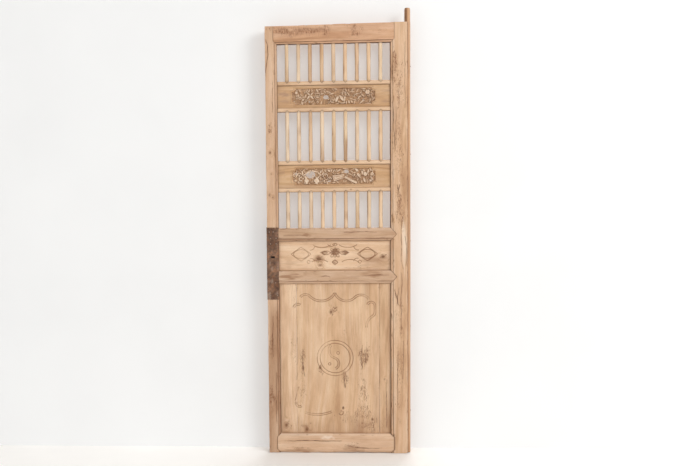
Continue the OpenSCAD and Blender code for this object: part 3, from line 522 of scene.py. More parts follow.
# Pivot pole: a turned elm rod along the hanging edge, the leaf's own hinge. It runs on above the leaf
# as a round pin, worn a little smaller, that turned in a socket of the building.
turn = np.radians(np.arange(0, 360, 15.0))
ring_corners = [(POLE_R * math.cos(v), POLE_R * math.sin(v), 0.0, 9.0) for v in turn]
p = timber(ring_corners, spaced(0, POLE_H, 4.5, 1.5, [(LEAF_H, 12), (POLE_H - 4, 8), (3, 6)]))
p.front[:] = 1
above = p.along - LEAF_H
p.lift += 0.3 * noise(p.across / 12, p.back / 12, p.along / 110, 31) - 0.5 * ramp(above, -2, 2)
p.lift -= 2.2 * ramp(p.along, POLE_H - 10, POLE_H) ** 2 + 0.8 * ramp(-p.along, -5, 0)
seam = ramp(-np.abs(p.across + 6 + 1.5 * noise(p.along / 200, 0, 0, 33)), -2.4, -0.4) * (p.back < 0)
add_grime_and_shade(p, seam * ramp(noise(p.along / 55, 0, 0, 34), -0.9, 0.1))
# The second term browns the pole's left side, seen only on the pin above the leaf: painted shade.
p.stain += 0.25 + 0.6 * ramp(-p.across, 4, 11)
p.stain += 0.4 * ramp(noise(p.across / 9, p.back / 9, p.along / 120, 35), 0, 0.8)
p.lift -= 0.7 * seam
free = ramp(above, -3, 3)
# Painted shade on the pin's left side above the leaf, in broken patches; jointed is grime in the seam
# beside the stile.
pin_painted_shade = free * ramp(-p.across, 0.5, 3.5)
pin_painted_shade = pin_painted_shade * ramp(noise(p.across / 6, p.back / 6, p.along / 14, 36), -0.9, 0.0)
jointed = (1 - free) * ramp(-np.abs(p.across - 0.5), -3.2, -1.2) * (p.back < 0)
add_grime_and_shade(p, np.maximum(0.75 * pin_painted_shade, 0.5 * jointed))
# Painted highlight down the middle of the pole's face.
p.pale += 0.9 * ramp(-np.abs(p.across - 6.5), -3.2, -0.8) * (p.back < 0)
# Painted shade along the pole's outer side, broken along its length.
add_grime_and_shade(p, 0.55 * ramp(p.across, 10.4, 11.6) * ramp(noise(0, 1, p.along / 30, 37), -0.8, 0.3))
knot(p, -1, 1522, 5.5)
pole_elm = elm("turned elm, worn round", "#d3a67c", rough=0.58)
pole = upright("pivot_pole", p, grain_of(p, 3, (3, 2), 3.0), POLE_X, 0.0)
fit(pole, "pole_elm", pole_elm, "pivot_pole")


# Frame rails: four cross pieces of browner elm tenoned into the stiles. Their faces run on over the stiles,
# mitred at the top and bottom of the leaf and cut to arrow points at the two middle rails.
RAIL_T = 38.0


def crosswise(name, p, grain, z0, front=FRONT, top=None):
    """Lays a swept piece crosswise, across to +Z and along to +X. top is the height that its worn upper
    edge had when new, and is given only for a piece at the leaf's top."""
    rise = p.across + p.lift * p.out[:, 0]
    if top is not None:
        rise = rise * (1 - fall(p.along) / top)
    y = front + p.back + p.lift * p.out[:, 1]
    return hewn(name, p, grain, np.stack([p.along, y, z0 + rise], -1))


def rail(height, beaded, reach):
    """A rail between the stiles. Its face, 11 mm thick, goes over them by reach(height above its edge)."""
    square = [(0, 0, 4.0, 2.0), (height, 0, 4.0, 6.0), (height, RAIL_T, 2.0, 8.0), (0, RAIL_T, 2.0, 6.0)]
    corners = [(height - a, b, r, s) for a, b, r, s in (bead(height, RAIL_T) if beaded else square)]
    face = lambda a, b: np.where(b < 11.5, np.clip(reach(a), 0, None), 0.0)
    stations = spaced(OPEN_L, OPEN_R, 2.6, 1.6, [(OPEN_L, 30), (OPEN_R, 30)])
    return timber(corners, stations, lambda a, b: OPEN_L - face(a, b), lambda a, b: OPEN_R + face(a, b))


def end_wear(p, grime):
    """Rubs the ends of a rail's face down to the seam, with dirt caught in the joint."""
    left = p.along - p.along[:1]
    right = p.along[-1:] - p.along
    near = np.minimum(left, right)
    p.lift -= 0.9 * np.exp(-near / 1.6) * p.front
    add_grime_and_shade(p, grime * np.exp(-near / 1.6) * p.front)


def quirk(p, seed):
    """Grime and painted shade packed in the quirk line beside a rail's bead."""
    line = (p.across > 7.0) * (p.across < 11.2) * p.front
    add_grime_and_shade(p, 0.5 * line * ramp(noise(p.along / 45, 0, 0, seed), -0.8, 0.2))


def arrow(height):
    """The reach of an arrow point: a straight slope from both edges of a rail out to its middle."""
    return lambda a: ARROW * height * (1 - np.abs(2 * a / height - 1))


p = rail(TOP_H, True, lambda a: np.minimum(LAP, a))
weather(p, 41, wave=0.5)
end_wear(p, 0.25)
quirk(p, 43)
for spot in ((48, -196, 30, 66, 1.0), (56, -118, 22, 74, 1.0), (50, -50, 26, 24, 0.9),
             (50, 66, 26, 36, 0.9), (50, 160, 14, 30, 0.5)):
    scuff(p, *spot, 47)
p.stain += 0.35 * (p.across < 10) * p.front
# Painted shade on the rail's underside over the top window.
add_grime_and_shade(p, ramp(-p.out[:, 0], 0.5, 0.9) * (p.back > 2.0))
top_elm = elm("hand-planed brown elm, top rail", "#d6ab88", tear=(0.06, 0.06, 0.4))
piece = crosswise("top_rail", p, grain_of(p, 4, (30, 60)), TOP_Z, top=TOP_H)
fit(piece, "rail_elm", top_elm, "top_rail")

p = rail(LOCK_H, True, arrow(LOCK_H))
weather(p, 51)
end_wear(p, 0.35)
quirk(p, 53)
p.stain += blot(p, 24, -128, 8, 14, 1.0, 54) + blot(p, 34, 40, 9, 70, 0.45, 55) + 0.5 * (p.across < 10)
crack(p, [(33, 20), (36, 90), (34, 150)], 0.9, 0.9)
crack(p, [(22, -220), (24, -170), (23, -120)], 0.8, 0.8)
rail_elm = elm("hand-planed greyed elm, middle rail", "#cfae90")
piece = crosswise("lock_rail", p, grain_of(p, 5, (20, 70)), LOCK_Z)
fit(piece, "rail_elm", rail_elm, "lock_rail")

p = rail(WAIST_H, True, arrow(WAIST_H))
weather(p, 61)
end_wear(p, 0.6)
quirk(p, 63)
for spot in ((28, -200, 12, 46, 1.0), (32, 150, 11, 34, 0.8), (24, 60, 8, 40, 0.4)):
    p.stain += blot(p, *spot, 64)
crack(p, [(30, 90), (34, 150), (32, 200)], 1.1, 1.1)
crack(p, [(27, -70), (31, -52), (27, -34)], 1.0, 1.0)
piece = crosswise("waist_rail", p, grain_of(p, 6, (35, 65)), WAIST_Z)
fit(piece, "rail_elm", rail_elm, "waist_rail")

p = rail(BOTTOM_H, False, lambda a: np.minimum(LAP, np.minimum(a, BOTTOM_H - a)))
weather(p, 71, wave=0.8, chips=2.0)
end_wear(p, 0.6)
crack(p, [(46, -225), (49, -130), (47, -60), (48, 10)], 1.7, 2.4)
crack(p, [(22, 60), (18, 120), (20, 170)], 1.1, 1.2)
scuff(p, 26, 50, 16, 40, 0.9, 76)
scuff(p, 20, -160, 12, 50, 0.5, 77)
p.stain += blot(p, 20, 60, 16, 42, 0.6, 73) + blot(p, 10, -150, 9, 60, 0.6, 74)
p.stain += 0.5 * ramp(-p.across, -14, -3) * p.front
chip = blot(p, 62, -50, 9, 26, 1.0, 75)
p.lift -= 1.6 * chip
p.pale += chip
add_grime_and_shade(p, 0.9 * np.exp(-(p.along[-1:] - p.along) / 3.5) * p.front)
bottom_elm = elm("hand-planed elm, worn foot rail", "#e6c5a6", rubbed="#f4dfcb")
piece = crosswise("bottom_rail", p, grain_of(p, 7, (30, 50)), 0.0)
fit(piece, "stile_elm", bottom_elm, "bottom_rail")


# Lattice rails: four slim thumb-rounded cross bars that part the windows from the carved boards.
# Each is notched on its window side for the pointed ends of the upright bars.
PLAY = 0.2  # gap left at each edge where a piece meets the frame
SLIM_H, SLIM_T, SLIM_FRONT = 17.0, 26.0, -19.0
BAR_W, BAR_T, BAR_GAP, BAR_POINT = 15.0, 18.0, 30.9, 7.5
bar_x = OPEN_L + BAR_GAP * np.arange(1, 10) + BAR_W * (np.arange(1, 10) - 0.5)
slim_at = {1: (1476.0, 1), 2: (1372.0, -1), 3: (1163.0, 1), 4: (1055.0, -1)}


def crowned(width, depth, drop, radius):
    """Thumb-rounded section: the crown in the middle of the face, which falls by drop to both edges."""
    share = np.linspace(-1, 1, 9)
    sink = drop * (1 - np.sqrt(1 - 0.96 * share ** 2)) / (1 - math.sqrt(0.04))
    face = [(width * (s + 1) / 2, back, 0.0, 1.6) for s, back in zip(share, sink)]
    face[0], face[-1] = (0, drop, radius, 1.6), (width, drop, radius, 4.0)
    return face + [(width, depth, 1.0, 5.0), (0, depth, 1.0, 4.0)]


lattice_elm = elm("scraped pale elm, lattice rail", "#e8c8a6", rough=0.6)
for number, (z0, side) in slim_at.items():
    seed = 80 + 7 * number
    p = timber(crowned(SLIM_H, SLIM_T, 4.5, 1.0), spaced(OPEN_L + PLAY, OPEN_R - PLAY, 2.0))
    weather(p, seed, wave=0.3, chips=0.5)
    inside = SLIM_H - p.across if side > 0 else p.across
    off = np.abs(p.along[..., None] - bar_x).min(-1)
    notch = (BAR_POINT * (1 - off / (BAR_W / 2)) - inside) * 0.7
    p.lift -= 3.5 * ramp(notch, -0.8, 0.4) * p.front
    shown = 0.75 if number == 1 else 0.45
    add_grime_and_shade(p, shown * ramp(notch, -1.8, -0.2) * p.front)
    add_grime_and_shade(p, 0.7 * np.exp(-np.minimum(p.along - OPEN_L, OPEN_R - p.along) / 2.5))
    # Painted shade on each rail's underside.
    add_grime_and_shade(p, 0.8 * ramp(-p.out[:, 0], 0.5, 0.9))
    if number == 4:
        knot(p, 9, 50, 2.6)
    piece = crosswise(f"lattice_rail_{number}", p, grain_of(p, 10 + number, (8, 60)), z0, SLIM_FRONT)
    fit(piece, "lattice_elm", lattice_elm, f"lattice_rail_{number}")


# Window bars: nine upright elm bars to a window, rounded on the face, standing proud as a lattice. Where a
# bar meets a slim rail its face runs on as a point; each was split from other stock, so tones differ.
BAR_FRONT = -18.0
windows = {
    "top": (slim_at[1][0] + SLIM_H, TOP_Z, True, False),
    "middle": (slim_at[3][0] + SLIM_H, slim_at[2][0], True, True),
    "bottom": (LOCK_Z + LOCK_H, slim_at[4][0], False, True),
}
bar_tones = [elm(f"scraped pale elm, window bar {word}", tone, rough=0.6)
             for word, tone in (("light", "#eed6b8"), ("honey", "#eacaa6"), ("straw", "#ead0ae"))]
pick = np.random.default_rng(17)
for row, (z0, z1, low, high) in windows.items():
    for i, x in enumerate(bar_x):
        seed = int(pick.integers(1000, 9000))
        point = lambda a, b: np.where(b < 7.5, BAR_POINT * (1 - np.abs(2 * a / BAR_W - 1)), 0.0)
        p = timber(
            crowned(BAR_W, BAR_T, 2.8, 0.9),
            spaced(z0, z1, 6.5, 2.2, [(z0, 8), (z1, 8)]),
            lambda a, b: z0 - (point(a, b) if low else 0),
            lambda a, b: z1 + (point(a, b) if high else 0),
        )
        weather(p, seed, wave=0.35, chips=0.5)
        p.lift += 0.5 * noise(0, 0, p.along / 70, seed + 9)
        near = np.minimum(p.along - z0, z1 - p.along)
        add_grime_and_shade(p, 0.4 * np.exp(-np.clip(near, 0, None) / 2.5))
        p.stain += 0.5 * ramp(noise(p.across / 14, 0, p.along / 48, seed + 11), 0.15, 0.85)
        p.pale += 0.7 * ramp(noise(p.across / 12, 0, p.along / 60, seed + 12), 0.1, 0.8) * p.front
        # Painted shade: the face browns towards its two rounded edges, and the side faces are darker still.
        p.stain += 0.55 * ramp(np.abs(p.across - BAR_W / 2), 4.6, 7.0) * p.front
        add_grime_and_shade(p, 0.55 * ramp(np.abs(p.out[:, 0]), 0.75, 0.95))
        if (row, i) == ("middle", 4):
            knot(p, 2.5, 1284, 1.6)
        name = f"{row}_bar_{i + 1}"
        piece = upright(name, p, grain_of(p, seed % 97, (7, 40), 4.0), x - BAR_W / 2, BAR_FRONT)
        fit(piece, "lattice_elm", bar_tones[int(pick.integers(0, 3))], name)


# Carved boards: two boards between the windows, each with a long sunk field of pierced relief carving.
# The carver left flowers, leaves, scrolls and vases at face height and cut the ground away between them.
BOARD_FRONT, BOARD_T = -12.0, 15.0
FIELD_X, FIELD_L, FIELD_H, FIELD_CORNER, FIELD_DEEP = -17.0, 328.0, 65.0, 13.0, 6.5


def raised(u, v, rise, soft=1.1):
    """Height of a rounded element from its inside distance: steep at the border, then a low dome."""
    return rise * ramp(u, 0, soft) * (0.78 + 0.22 * v)


def turned(x, y, x0, y0, degrees):
    """Place relative to a point, turned back by an angle."""
    c, s = math.cos(math.radians(degrees)), math.sin(math.radians(degrees))
    return (x - x0) * c + (y - y0) * s, (y - y0) * c - (x - x0) * s


def leaf(x, y, x0, y0, degrees, length, width, rise=6.2):
    """A pointed leaf: two arcs meeting at the tips, a cut midrib and slanting veins."""
    u, v = turned(x, y, x0, y0, degrees)
    narrowing = 1.1 - 0.35 * np.clip(u / length, 0, 1)
    half = width / 2 * np.sqrt(np.clip(1 - (2 * u / length - 1) ** 2, 0, 1)) * narrowing
    inside = np.where((u > 0) & (u < length), half - np.abs(v), -9)
    dome = np.sqrt(np.clip(1 - (v / np.maximum(half, 0.1)) ** 2, 0, 1))
    veins = ramp(np.cos((u - 1.2 * np.abs(v)) * math.tau / 4.6), 0.55, 1.0)
    rib = 1.7 * np.exp(-(v / 0.8) ** 2) + 0.7 * veins
    return inside, np.maximum(raised(inside, dome, rise) - rib * (inside > 0.8), 0)


def blossom(x, y, x0, y0, radius, petals):
    """A flower: round petals set about a sunk eye with a raised button."""
    d, angle = np.hypot(x - x0, y - y0), np.arctan2(y - y0, x - x0)
    lobe = radius * (0.80 + 0.20 * np.abs(np.cos(angle * petals / 2)))
    inside = lobe - d
    cup = np.sin(np.clip(d / lobe, 0, 1) * math.pi) ** 0.7
    between = ramp(np.abs(np.sin(angle * petals / 2 + math.pi / 2)), 0.25, 0.0)
    split = 1.6 * between * ramp(d, radius * 0.25, radius * 0.5)
    eye = 1.7 * ramp(radius * 0.4 - d, 0, 1)
    button = 2.4 * ramp(radius * 0.26 - d, 0, 1.2)
    return inside, np.maximum(raised(inside, cup, 6.4) - split * (inside > 0) - eye + button, 0)


def arc_gap(x, y, x0, y0, radius, start, sweep):
    """Distance to an arc of a circle, its ends included, negative inside it. Angles are in degrees."""
    on = (np.degrees(np.arctan2(y - y0, x - x0)) - start) % 360 <= sweep
    ends = np.radians([start, start + sweep])
    tips = [np.hypot(x - x0 - radius * math.cos(v), y - y0 - radius * math.sin(v)) for v in ends]
    return np.where(on, np.hypot(x - x0, y - y0) - radius, np.minimum(*tips))


def line_gap(x, y, x0, y0, x1, y1):
    """Distance to a straight stroke between two points, less than nothing on its right side."""
    share = np.clip(((x - x0) * (x1 - x0) + (y - y0) * (y1 - y0)) / ((x1 - x0) ** 2 + (y1 - y0) ** 2), 0, 1)
    side = np.where((x1 - x0) * (y - y0) - (y1 - y0) * (x - x0) < 0, -1, 1)
    return side * np.hypot(x - x0 - share * (x1 - x0), y - y0 - share * (y1 - y0))


def rod(gap, half, rise):
    """A half-round stem about a line."""
    gap = np.abs(gap)
    return half - gap, raised(half - gap, np.sqrt(np.clip(1 - (gap / half) ** 2, 0, 1)), rise, 0.8)


def vase(x, y, x0, y0, degrees, height, radius):
    """A turned vase seen from the side: foot, swelling belly, neck and lip, with cut bands."""
    u, v = turned(x, y, x0, y0, degrees)
    shares = (0, 0.08, 0.14, 0.4, 0.62, 0.78, 0.86, 1.0)
    half = radius * np.interp(v / height, shares, (0.62, 0.66, 0.4, 0.98, 0.8, 0.38, 0.4, 0.66))
    inside = np.where((v > 0) & (v < height), half - np.abs(u), -9)
    cuts = ((0.13, 0.9), (0.78, 0.9), (0.5, 0.7))
    bands = 1.2 * sum(np.exp(-((v - share * height) / wide) ** 2) for share, wide in cuts)
    belly = np.sqrt(np.clip(1 - (u / np.maximum(half, 0.1)) ** 2, 0, 1))
    return inside, np.maximum(raised(inside, belly, 6.5) - bands * (inside > 0.7), 0)


def laid(layers):
    """Carved elements one over another: each hides what lies under it and is parted from it by a cut."""
    surface = 0 * layers[0][0]
    for inside, height in layers:
        surface = np.where(inside > 0, height, np.clip(surface - 4.5 * ramp(inside, -1.6, -0.2), 0, None))
    return surface


def foliage(x, y, spare, seed, columns, long, wide, rise):
    """Slender leaves strewn over the whole field in five loose rows, none rooted in a spare ellipse (x, y,
    half length, half height). long, wide and rise give the least and greatest of their sizes."""
    deal = np.random.default_rng(seed)
    layers = []
    for i, j in np.ndindex(columns, 5):
        at_x = FIELD_L * (i / (columns - 1) - 0.5) + deal.uniform(-5, 5)
        at_y = -28 + 14 * j + deal.uniform(-4, 4)
        lean = 40 * math.cos(at_x / 15) + deal.choice((-58, 50, 140, 215)) + deal.uniform(-14, 14)
        length, width, high = deal.uniform(*long), deal.uniform(*wide), deal.uniform(*rise)
        if all(math.hypot((at_x - a) / c, (at_y - b) / d) > 1 for a, b, c, d in spare):
            layers.append(leaf(x, y, at_x, at_y, lean, length, width, high))
    return layers


def upper_relief(x, y):
    """Height of the upper field's carving over its ground: close slender leaves, curls and blossoms."""
    layers = foliage(x, y, ((-30, -4, 16, 12), (136, -20, 9, 7)), 5, 38, (18, 30), (6, 9), (4.6, 6.6))
    layers += [rod(arc_gap(x, y, *curl), 1.9, 6.0) for curl in (
        (-66, -2, 8, 40, 270), (-31, -8, 22, -60, 85), (96, -6, 15, 60, 120))]
    layers += [leaf(x, y, -91, 4, 45 + 90 * s, 19, 9) for s in range(4)]
    layers += [leaf(x, y, *one) for one in ((8, -22, 62, 30, 12), (40, -18, 126, 29, 12))]
    layers += [blossom(x, y, *one) for one in ((134, 15, 11, 6), (-146, 16, 7, 5), (-120, -12, 6, 5))]
    return laid(layers)


def lower_relief(x, y):
    """Height of the lower field's carving: two vases with branches, a book, a scroll and blossoms."""
    spare = ((-90, 6, 27, 18), (50, 17, 14, 9), (18, -5, 27, 15), (66, -14, 20, 10), (139, -20, 8, 7),
             (-139, -18, 7, 6))
    layers = foliage(x, y, spare, 8, 34, (15, 27), (6, 9), (4.2, 6.4))
    layers += [rod(arc_gap(x, y, *curl), 2.4, 6.2) for curl in (
        (-131, -10, 7, 60, 250), (-150, 6, 9, 20, 200), (-17, -10, 7, -10, 220), (-34, 2, 8, -20, 220),
        (152, -6, 7, 90, 220))]
    layers += [rod(line_gap(x, y, *branch), 3.0, 6.5) for branch in (
        (-112, -6, -130, 11), (-130, 11, -141, 13), (-141, 13, -152, -1), (-112, -6, -117, 7),
        (-117, 7, -94, 23), (-64, -6, -41, 14), (-56, 2, -52, 21), (-52, 6, -66, 18), (-66, 18, -86, 23),
        (-122, 4, -126, 20))]
    layers += [vase(x, y, -107, -30, 6, 27, 10.5), vase(x, y, -70, -30, -8, 27, 13)]
    layers += [blossom(x, y, *one) for one in (
        (-19, 22, 6, 5), (124, 8, 9, 6), (151, 8, 8, 5), (-152, -16, 6, 5))]
    layers += [leaf(x, y, *petal) for petal in (
        (92, 13, -58, 25, 13), (110, 22, -72, 20, 9), (116, -6, -68, 23, 10), (138, 26, -105, 19, 9),
        (148, -3, -70, 18, 9), (84, 30, -42, 20, 10))]
    book = np.full(x.shape, 99.0)
    corners = ((-8, 3), (0, -22), (43, -6), (40, 8))
    for (ax, ay), (bx, by) in zip(corners, corners[1:] + corners[:1]):
        within = (bx - ax) * (y - ay) - (by - ay) * (x - ax)
        book = np.minimum(book, within / math.hypot(bx - ax, by - ay))
    sunk = 2.6 * ramp(book, 3.6, 4.6) - 1.4 * ramp(book, 5.8, 6.8)
    layers.append((book, np.maximum(raised(book, 0.7, 6.3) - sunk, 0)))
    gap = np.abs(line_gap(x, y, 46, -4, 88, -26))
    lines = 1.3 * np.exp(-((gap - 2.2) / 0.8) ** 2) * (gap < 4.2)
    layers.append((5.2 - gap, np.maximum(raised(5.2 - gap, 0.8, 6.3) - lines, 0)))
    return laid(layers)


def pierced_faces(gone):
    """Faces of two skins whose points are numbered row by row, the front one first. Cells that are gone
    have none, and walls join the two skins round them and round the rim."""
    rows, columns = gone.shape[0] + 1, gone.shape[1] + 1
    number = np.arange(rows * columns).reshape(rows, columns)
    under = number + rows * columns
    cell = lambda n: np.stack([n[:-1, :-1], n[:-1, 1:], n[1:, 1:], n[1:, :-1]], -1)
    kept = np.pad(~gone, 1)
    faces = [cell(number)[~gone], cell(under)[~gone][:, ::-1]]
    upper, lower = kept[1:, 1:-1], kept[:-1, 1:-1]
    wall = np.stack([number[:, :-1], number[:, 1:], under[:, 1:], under[:, :-1]], -1)
    faces += [wall[lower & ~upper], wall[upper & ~lower][:, ::-1]]
    left, right = kept[1:-1, :-1], kept[1:-1, 1:]
    wall = np.stack([number[:-1], number[1:], under[1:], under[:-1]], -1)
    return faces + [wall[right & ~left], wall[left & ~right][:, ::-1]]


def carved_board(name, z0, z1, relief, soil, piercings, stains, seed):
    """A board between two slim rails as a height field on a grid, fine inside the sunk field: a flat face
    less the sunk ground, plus the carving. A piercing is an ellipse (x, y, half length, half height, turn),
    open where no carving crosses it."""
    middle_z = (z0 + z1) / 2
    xs = spaced(OPEN_L + PLAY, OPEN_R - PLAY, 4.0, 1.0, [(FIELD_X, FIELD_L / 2 + 2)])
    zs = spaced(z0 + PLAY, z1 - PLAY, 3.0, 1.0, [(middle_z, FIELD_H / 2 + 2)])
    gx, gz = np.meshgrid(xs, zs)
    x, y = gx - FIELD_X, gz - middle_z
    warp_x = x + 0.9 * noise(x / 9, y / 9, 0, seed)
    warp_y = y + 0.9 * noise(x / 9, y / 9, 4, seed + 1)
    dx, dy = FIELD_L / 2 - np.abs(x), FIELD_H / 2 - np.abs(y)
    inside = np.minimum(np.minimum(dx, dy), np.hypot(dx, dy) - FIELD_CORNER)
    ground = FIELD_DEEP * ramp(inside, -0.4, 1.6)
    carving = relief(warp_x, warp_y) * ramp(inside, 0.5, 2.0)
    work = noise(x / 5, y / 5, 0, seed + 2)
    stipple = noise(x / 2.3, y / 2.3, 0, seed + 8)
    rim = np.exp(-((inside + 4.2) / 1.0) ** 2)
    tooled = (0.25 * work + 0.4 * stipple * ramp(-carving, -2, 0)) * ramp(inside, 0, 3)
    depth = ground - np.clip(carving, 0, FIELD_DEEP) + tooled
    depth = depth + 0.3 * noise(gx / 120, gz / 20, 0, seed + 3) + 0.9 * rim
    clear = np.full(x.shape, 99.0)
    for px, py, a, b, lean in piercings:
        u, v = turned(warp_x, warp_y, px, py, lean)
        clear = np.minimum(clear, (np.hypot(u / a, v / b) - 1) * min(a, b))
    clear = np.maximum(np.maximum(clear, (carving - 3.4) * 0.5), 2.0 - inside)
    gone = clear[:-1, :-1] + clear[1:, :-1] + clear[:-1, 1:] + clear[1:, 1:] < 0
    around = np.pad(gone, 1).astype(int)
    around = around[:-1, :-1] + around[1:, :-1] + around[:-1, 1:] + around[1:, 1:]
    slope_z, slope_x = np.gradient(clear, zs, xs)
    steep = np.maximum(slope_x ** 2 + slope_z ** 2, 0.25)
    step = np.where((around > 0) & (around < 4), -clear / steep, 0)
    gx = gx + np.clip(step * slope_x, -0.55, 0.55)
    gz = gz + np.clip(step * slope_z, -0.55, 0.55)
    none = np.zeros_like(gx)
    p = SimpleNamespace(across=gz - z0, along=gx, back=none, front=none + 1, turn=none, torn=none)
    p.stain = 0.4 * ramp(noise(gx / 130, gz / 30, 0, seed + 4), 0.0, 0.9) + 0.3 * ramp(depth, 1.6, 5.5)
    p.dirt = soil * ramp(depth, 3.0, 6.3) * ramp(work + 0.6 * stipple, -1.2, 0.6) + 0.4 * rim
    rim_near = np.minimum(np.minimum(gx - OPEN_L, OPEN_R - gx), np.minimum(gz - z0, z1 - gz))
    add_grime_and_shade(p, 0.3 * np.exp(-rim_near / 2.2))
    for spot in stains:
        p.stain += blot(p, *spot, seed + 5)
    p.pale = ramp(carving, 2.8, 4.6) * ramp(work, -1.4, 0.1)
    grain = grain_of(p, seed % 50, (35, 55))
    faces = pierced_faces(gone)
    back = BOARD_T - 0.25 * noise(gx / 60, gz / 9, 0, seed + 6)
    points = np.stack([np.stack([gx, BOARD_FRONT + d, gz], -1) for d in (depth, back)]).reshape(-1, 3)
    grime = 0.5 + 0.5 * noise(gx / 150, gz / 7, 0, seed + 7)
    behind = {"dirt": 0.3 * grime, "stain": 0.9 * grime, "pale": 0 * grime, "torn": 0 * grime}
    used = np.unique(np.concatenate([f.ravel() for f in faces]))
    renumber = np.zeros(len(points), np.int64)
    renumber[used] = np.arange(len(used))
    marks = {"grain": np.concatenate([grain.reshape(-1, 3)] * 2)[used]}
    for mark, plain in behind.items():
        marks[mark] = np.stack([np.clip(getattr(p, mark), 0, 1), plain]).ravel()[used]
    return solid(name, points[used], [renumber[f] for f in faces], marks)


board_elm = elm("carved and scrubbed elm board", "#d3ad83", "#6c4b33", "#a8836a", rubbed="#f0dcc6")
boards = {
    "upper_carved_board": (
        2, 1, upper_relief, 0.5,
        ((-28, -3, 11, 8, 0), (-93, -19, 4.5, 3, 20), (118, -17, 4, 3.5, -20), (46, 15, 4.5, 3, 25)),
        ((54, -212, 9, 22, 0.8), (26, -205, 8, 24, 0.5), (20, 188, 7, 20, 0.6), (62, 192, 6, 18, 0.5)),
        201),
    "lower_carved_board": (
        4, 3, lower_relief, 0.45,
        ((-92, 7, 19, 14, 0), (49, 18, 11, 7, -10), (-150, 12, 4, 5, 15), (146, -18, 4.5, 4, 0),
         (-18, -20, 5.5, 3.5, 0)),
        ((60, -225, 16, 14, 0.4),),
        231),
}
for name, (below, above, *carving) in boards.items():
    piece = carved_board(name, slim_at[below][0] + SLIM_H, slim_at[above][0], *carving)
    fit(piece, "carved_elm", board_elm, name)


# Waist panel: one thin board between the middle rails, grooved in on all sides, grain crosswise. Two
# lozenges, a flower with two leaves and curling strokes are drawn on it with shallow cuts, half worn away.
PANEL_FRONT, PANEL_T = -12.0, 16.0
WAIST_PANEL_Z = WAIST_Z + WAIST_H + PLAY
WAIST_PANEL_H = LOCK_Z - PLAY - WAIST_PANEL_Z
PANEL_X = -16.0
CUT_HALF, CUT_DEEP = 2.8, 1.9


def panel(width, low, high, step, coarse):
    """A thin board with a close grid on its face and a wide one on its back."""
    face = [(0, 0, 0.8, step), (width, 0, 0.8, 6.0)]
    rear = [(width, PANEL_T, 1.0, coarse), (0, PANEL_T, 1.0, 6.0)]
    return timber(face + rear, spaced(low, high, step))


def incise(p, gap, seed, least):
    """Cuts a rounded V line where the gap to its stroke is small. The cut is fainter where the face has
    worn, and least is what is left of it there."""
    wear = noise(p.across / 40, 0, p.along / 40, seed) + 0.3 * noise(p.across / 9, 0, p.along / 9, seed + 1)
    p.worn = least + (1 - least) * ramp(wear, -0.75, 0.1)
    p.groove = np.where(p.front > 0.5, gap, 9.0)
    near = np.abs(gap)
    cut = 0.5 + 0.5 * np.cos(math.pi * np.clip(near / CUT_HALF, 0, 1))
    p.lift -= CUT_DEEP * cut * p.front * (0.3 + 0.7 * p.worn)
    p.stain += (0.15 + 0.25 * p.worn) * ramp(-near, -CUT_HALF - 0.6, -0.3 * CUT_HALF) * p.front
    lip = ramp(near, CUT_HALF - 0.6, CUT_HALF) * ramp(-near, -CUT_HALF - 2, -CUT_HALF)
    p.pale += 0.35 * lip * p.front


def in_groove(p, gap):
    """Dirt and shade where a panel runs into the frame's groove."""
    add_grime_and_shade(p, 0.5 * np.exp(-np.clip(gap, 0, None) / 2.0) * p.front)
    p.stain += 0.2 * np.exp(-np.clip(gap, 0, None) / 9.0) * p.front


def eye_gap(x, y, x0, y0, a, b):
    """Distance to a pointed eye: two arcs through its tips, left open by a hair at both ends."""
    r = (a * a + b * b) / (2 * b)
    sweep = 2 * math.degrees(math.asin(min(1.0, a / r))) - 4
    over = arc_gap(x, y, x0, y0 + b - r, r, 90 - sweep / 2, sweep)
    return nearest(over, arc_gap(x, y, x0, y0 - b + r, r, 270 - sweep / 2, sweep))


def lozenge_gap(x, y, x0, y0, a, b, power):
    """Distance to a closed curve |x/a|^power + |y/b|^power = 1: a lozenge at power 1, an oval at 2."""
    u, v = np.abs(x - x0) / a + 1e-6, np.abs(y - y0) / b + 1e-6
    size = (u ** power + v ** power) ** (1 / power)
    slope = np.hypot(u ** (power - 1) / a, v ** (power - 1) / b) * size ** (1 - power)
    return (size - 1) / slope


p = panel(WAIST_PANEL_H, OPEN_L + PLAY, OPEN_R - PLAY, 1.3, 12.0)
weather(p, 301, wave=0.5, chips=0.2)
x, y = p.along - PANEL_X, p.across - WAIST_PANEL_H / 2
ends = np.minimum(p.along - OPEN_L, OPEN_R - p.along)
in_groove(p, np.minimum(ends, np.minimum(p.across, WAIST_PANEL_H - p.across)))
strokes = []
for m in (-1, 1):
    strokes.append(lozenge_gap(x, y, m * 132 - 2, 6, 39, 27, 1.12))
    strokes.append(lozenge_gap(x, y, m * 132 - 2, 6, 30, 18, 1.75))
    strokes.append(arc_gap(x, y, m * 94 - 2, 38, 16, 225 - 35 * m, 90))
    strokes.append(arc_gap(x, y, m * 92 - 2, -26, 15, 45 + 30 * m, 90))
    strokes += [arc_gap(x, y, m * 102 - 2, -25, 6, 0, 300), eye_gap(x, y, m * 34 + 1, 11, 17, 7)]
    strokes += [arc_gap(x, y, m * 52 + 1, 94, 62, 235, 70), arc_gap(x, y, m * 60 + 1, -76, 60, 58, 64)]
strokes += [lozenge_gap(x, y, 1, -27, 11, 9, 1.3), eye_gap(x, y, 1, 44, 9, 5)]
strokes += [arc_gap(x, y, 1, 11, 4, 0, 360), arc_gap(x, y, -14, 50, 14, 200, 150)]
for turn_by in (45, 135, 225, 315):
    u, v = turned(x, y, 1, 11, turn_by)
    strokes.append(eye_gap(u, v, 14.5, 0, 8.5, 5))
incise(p, nearest(*strokes), 303, 0.55)
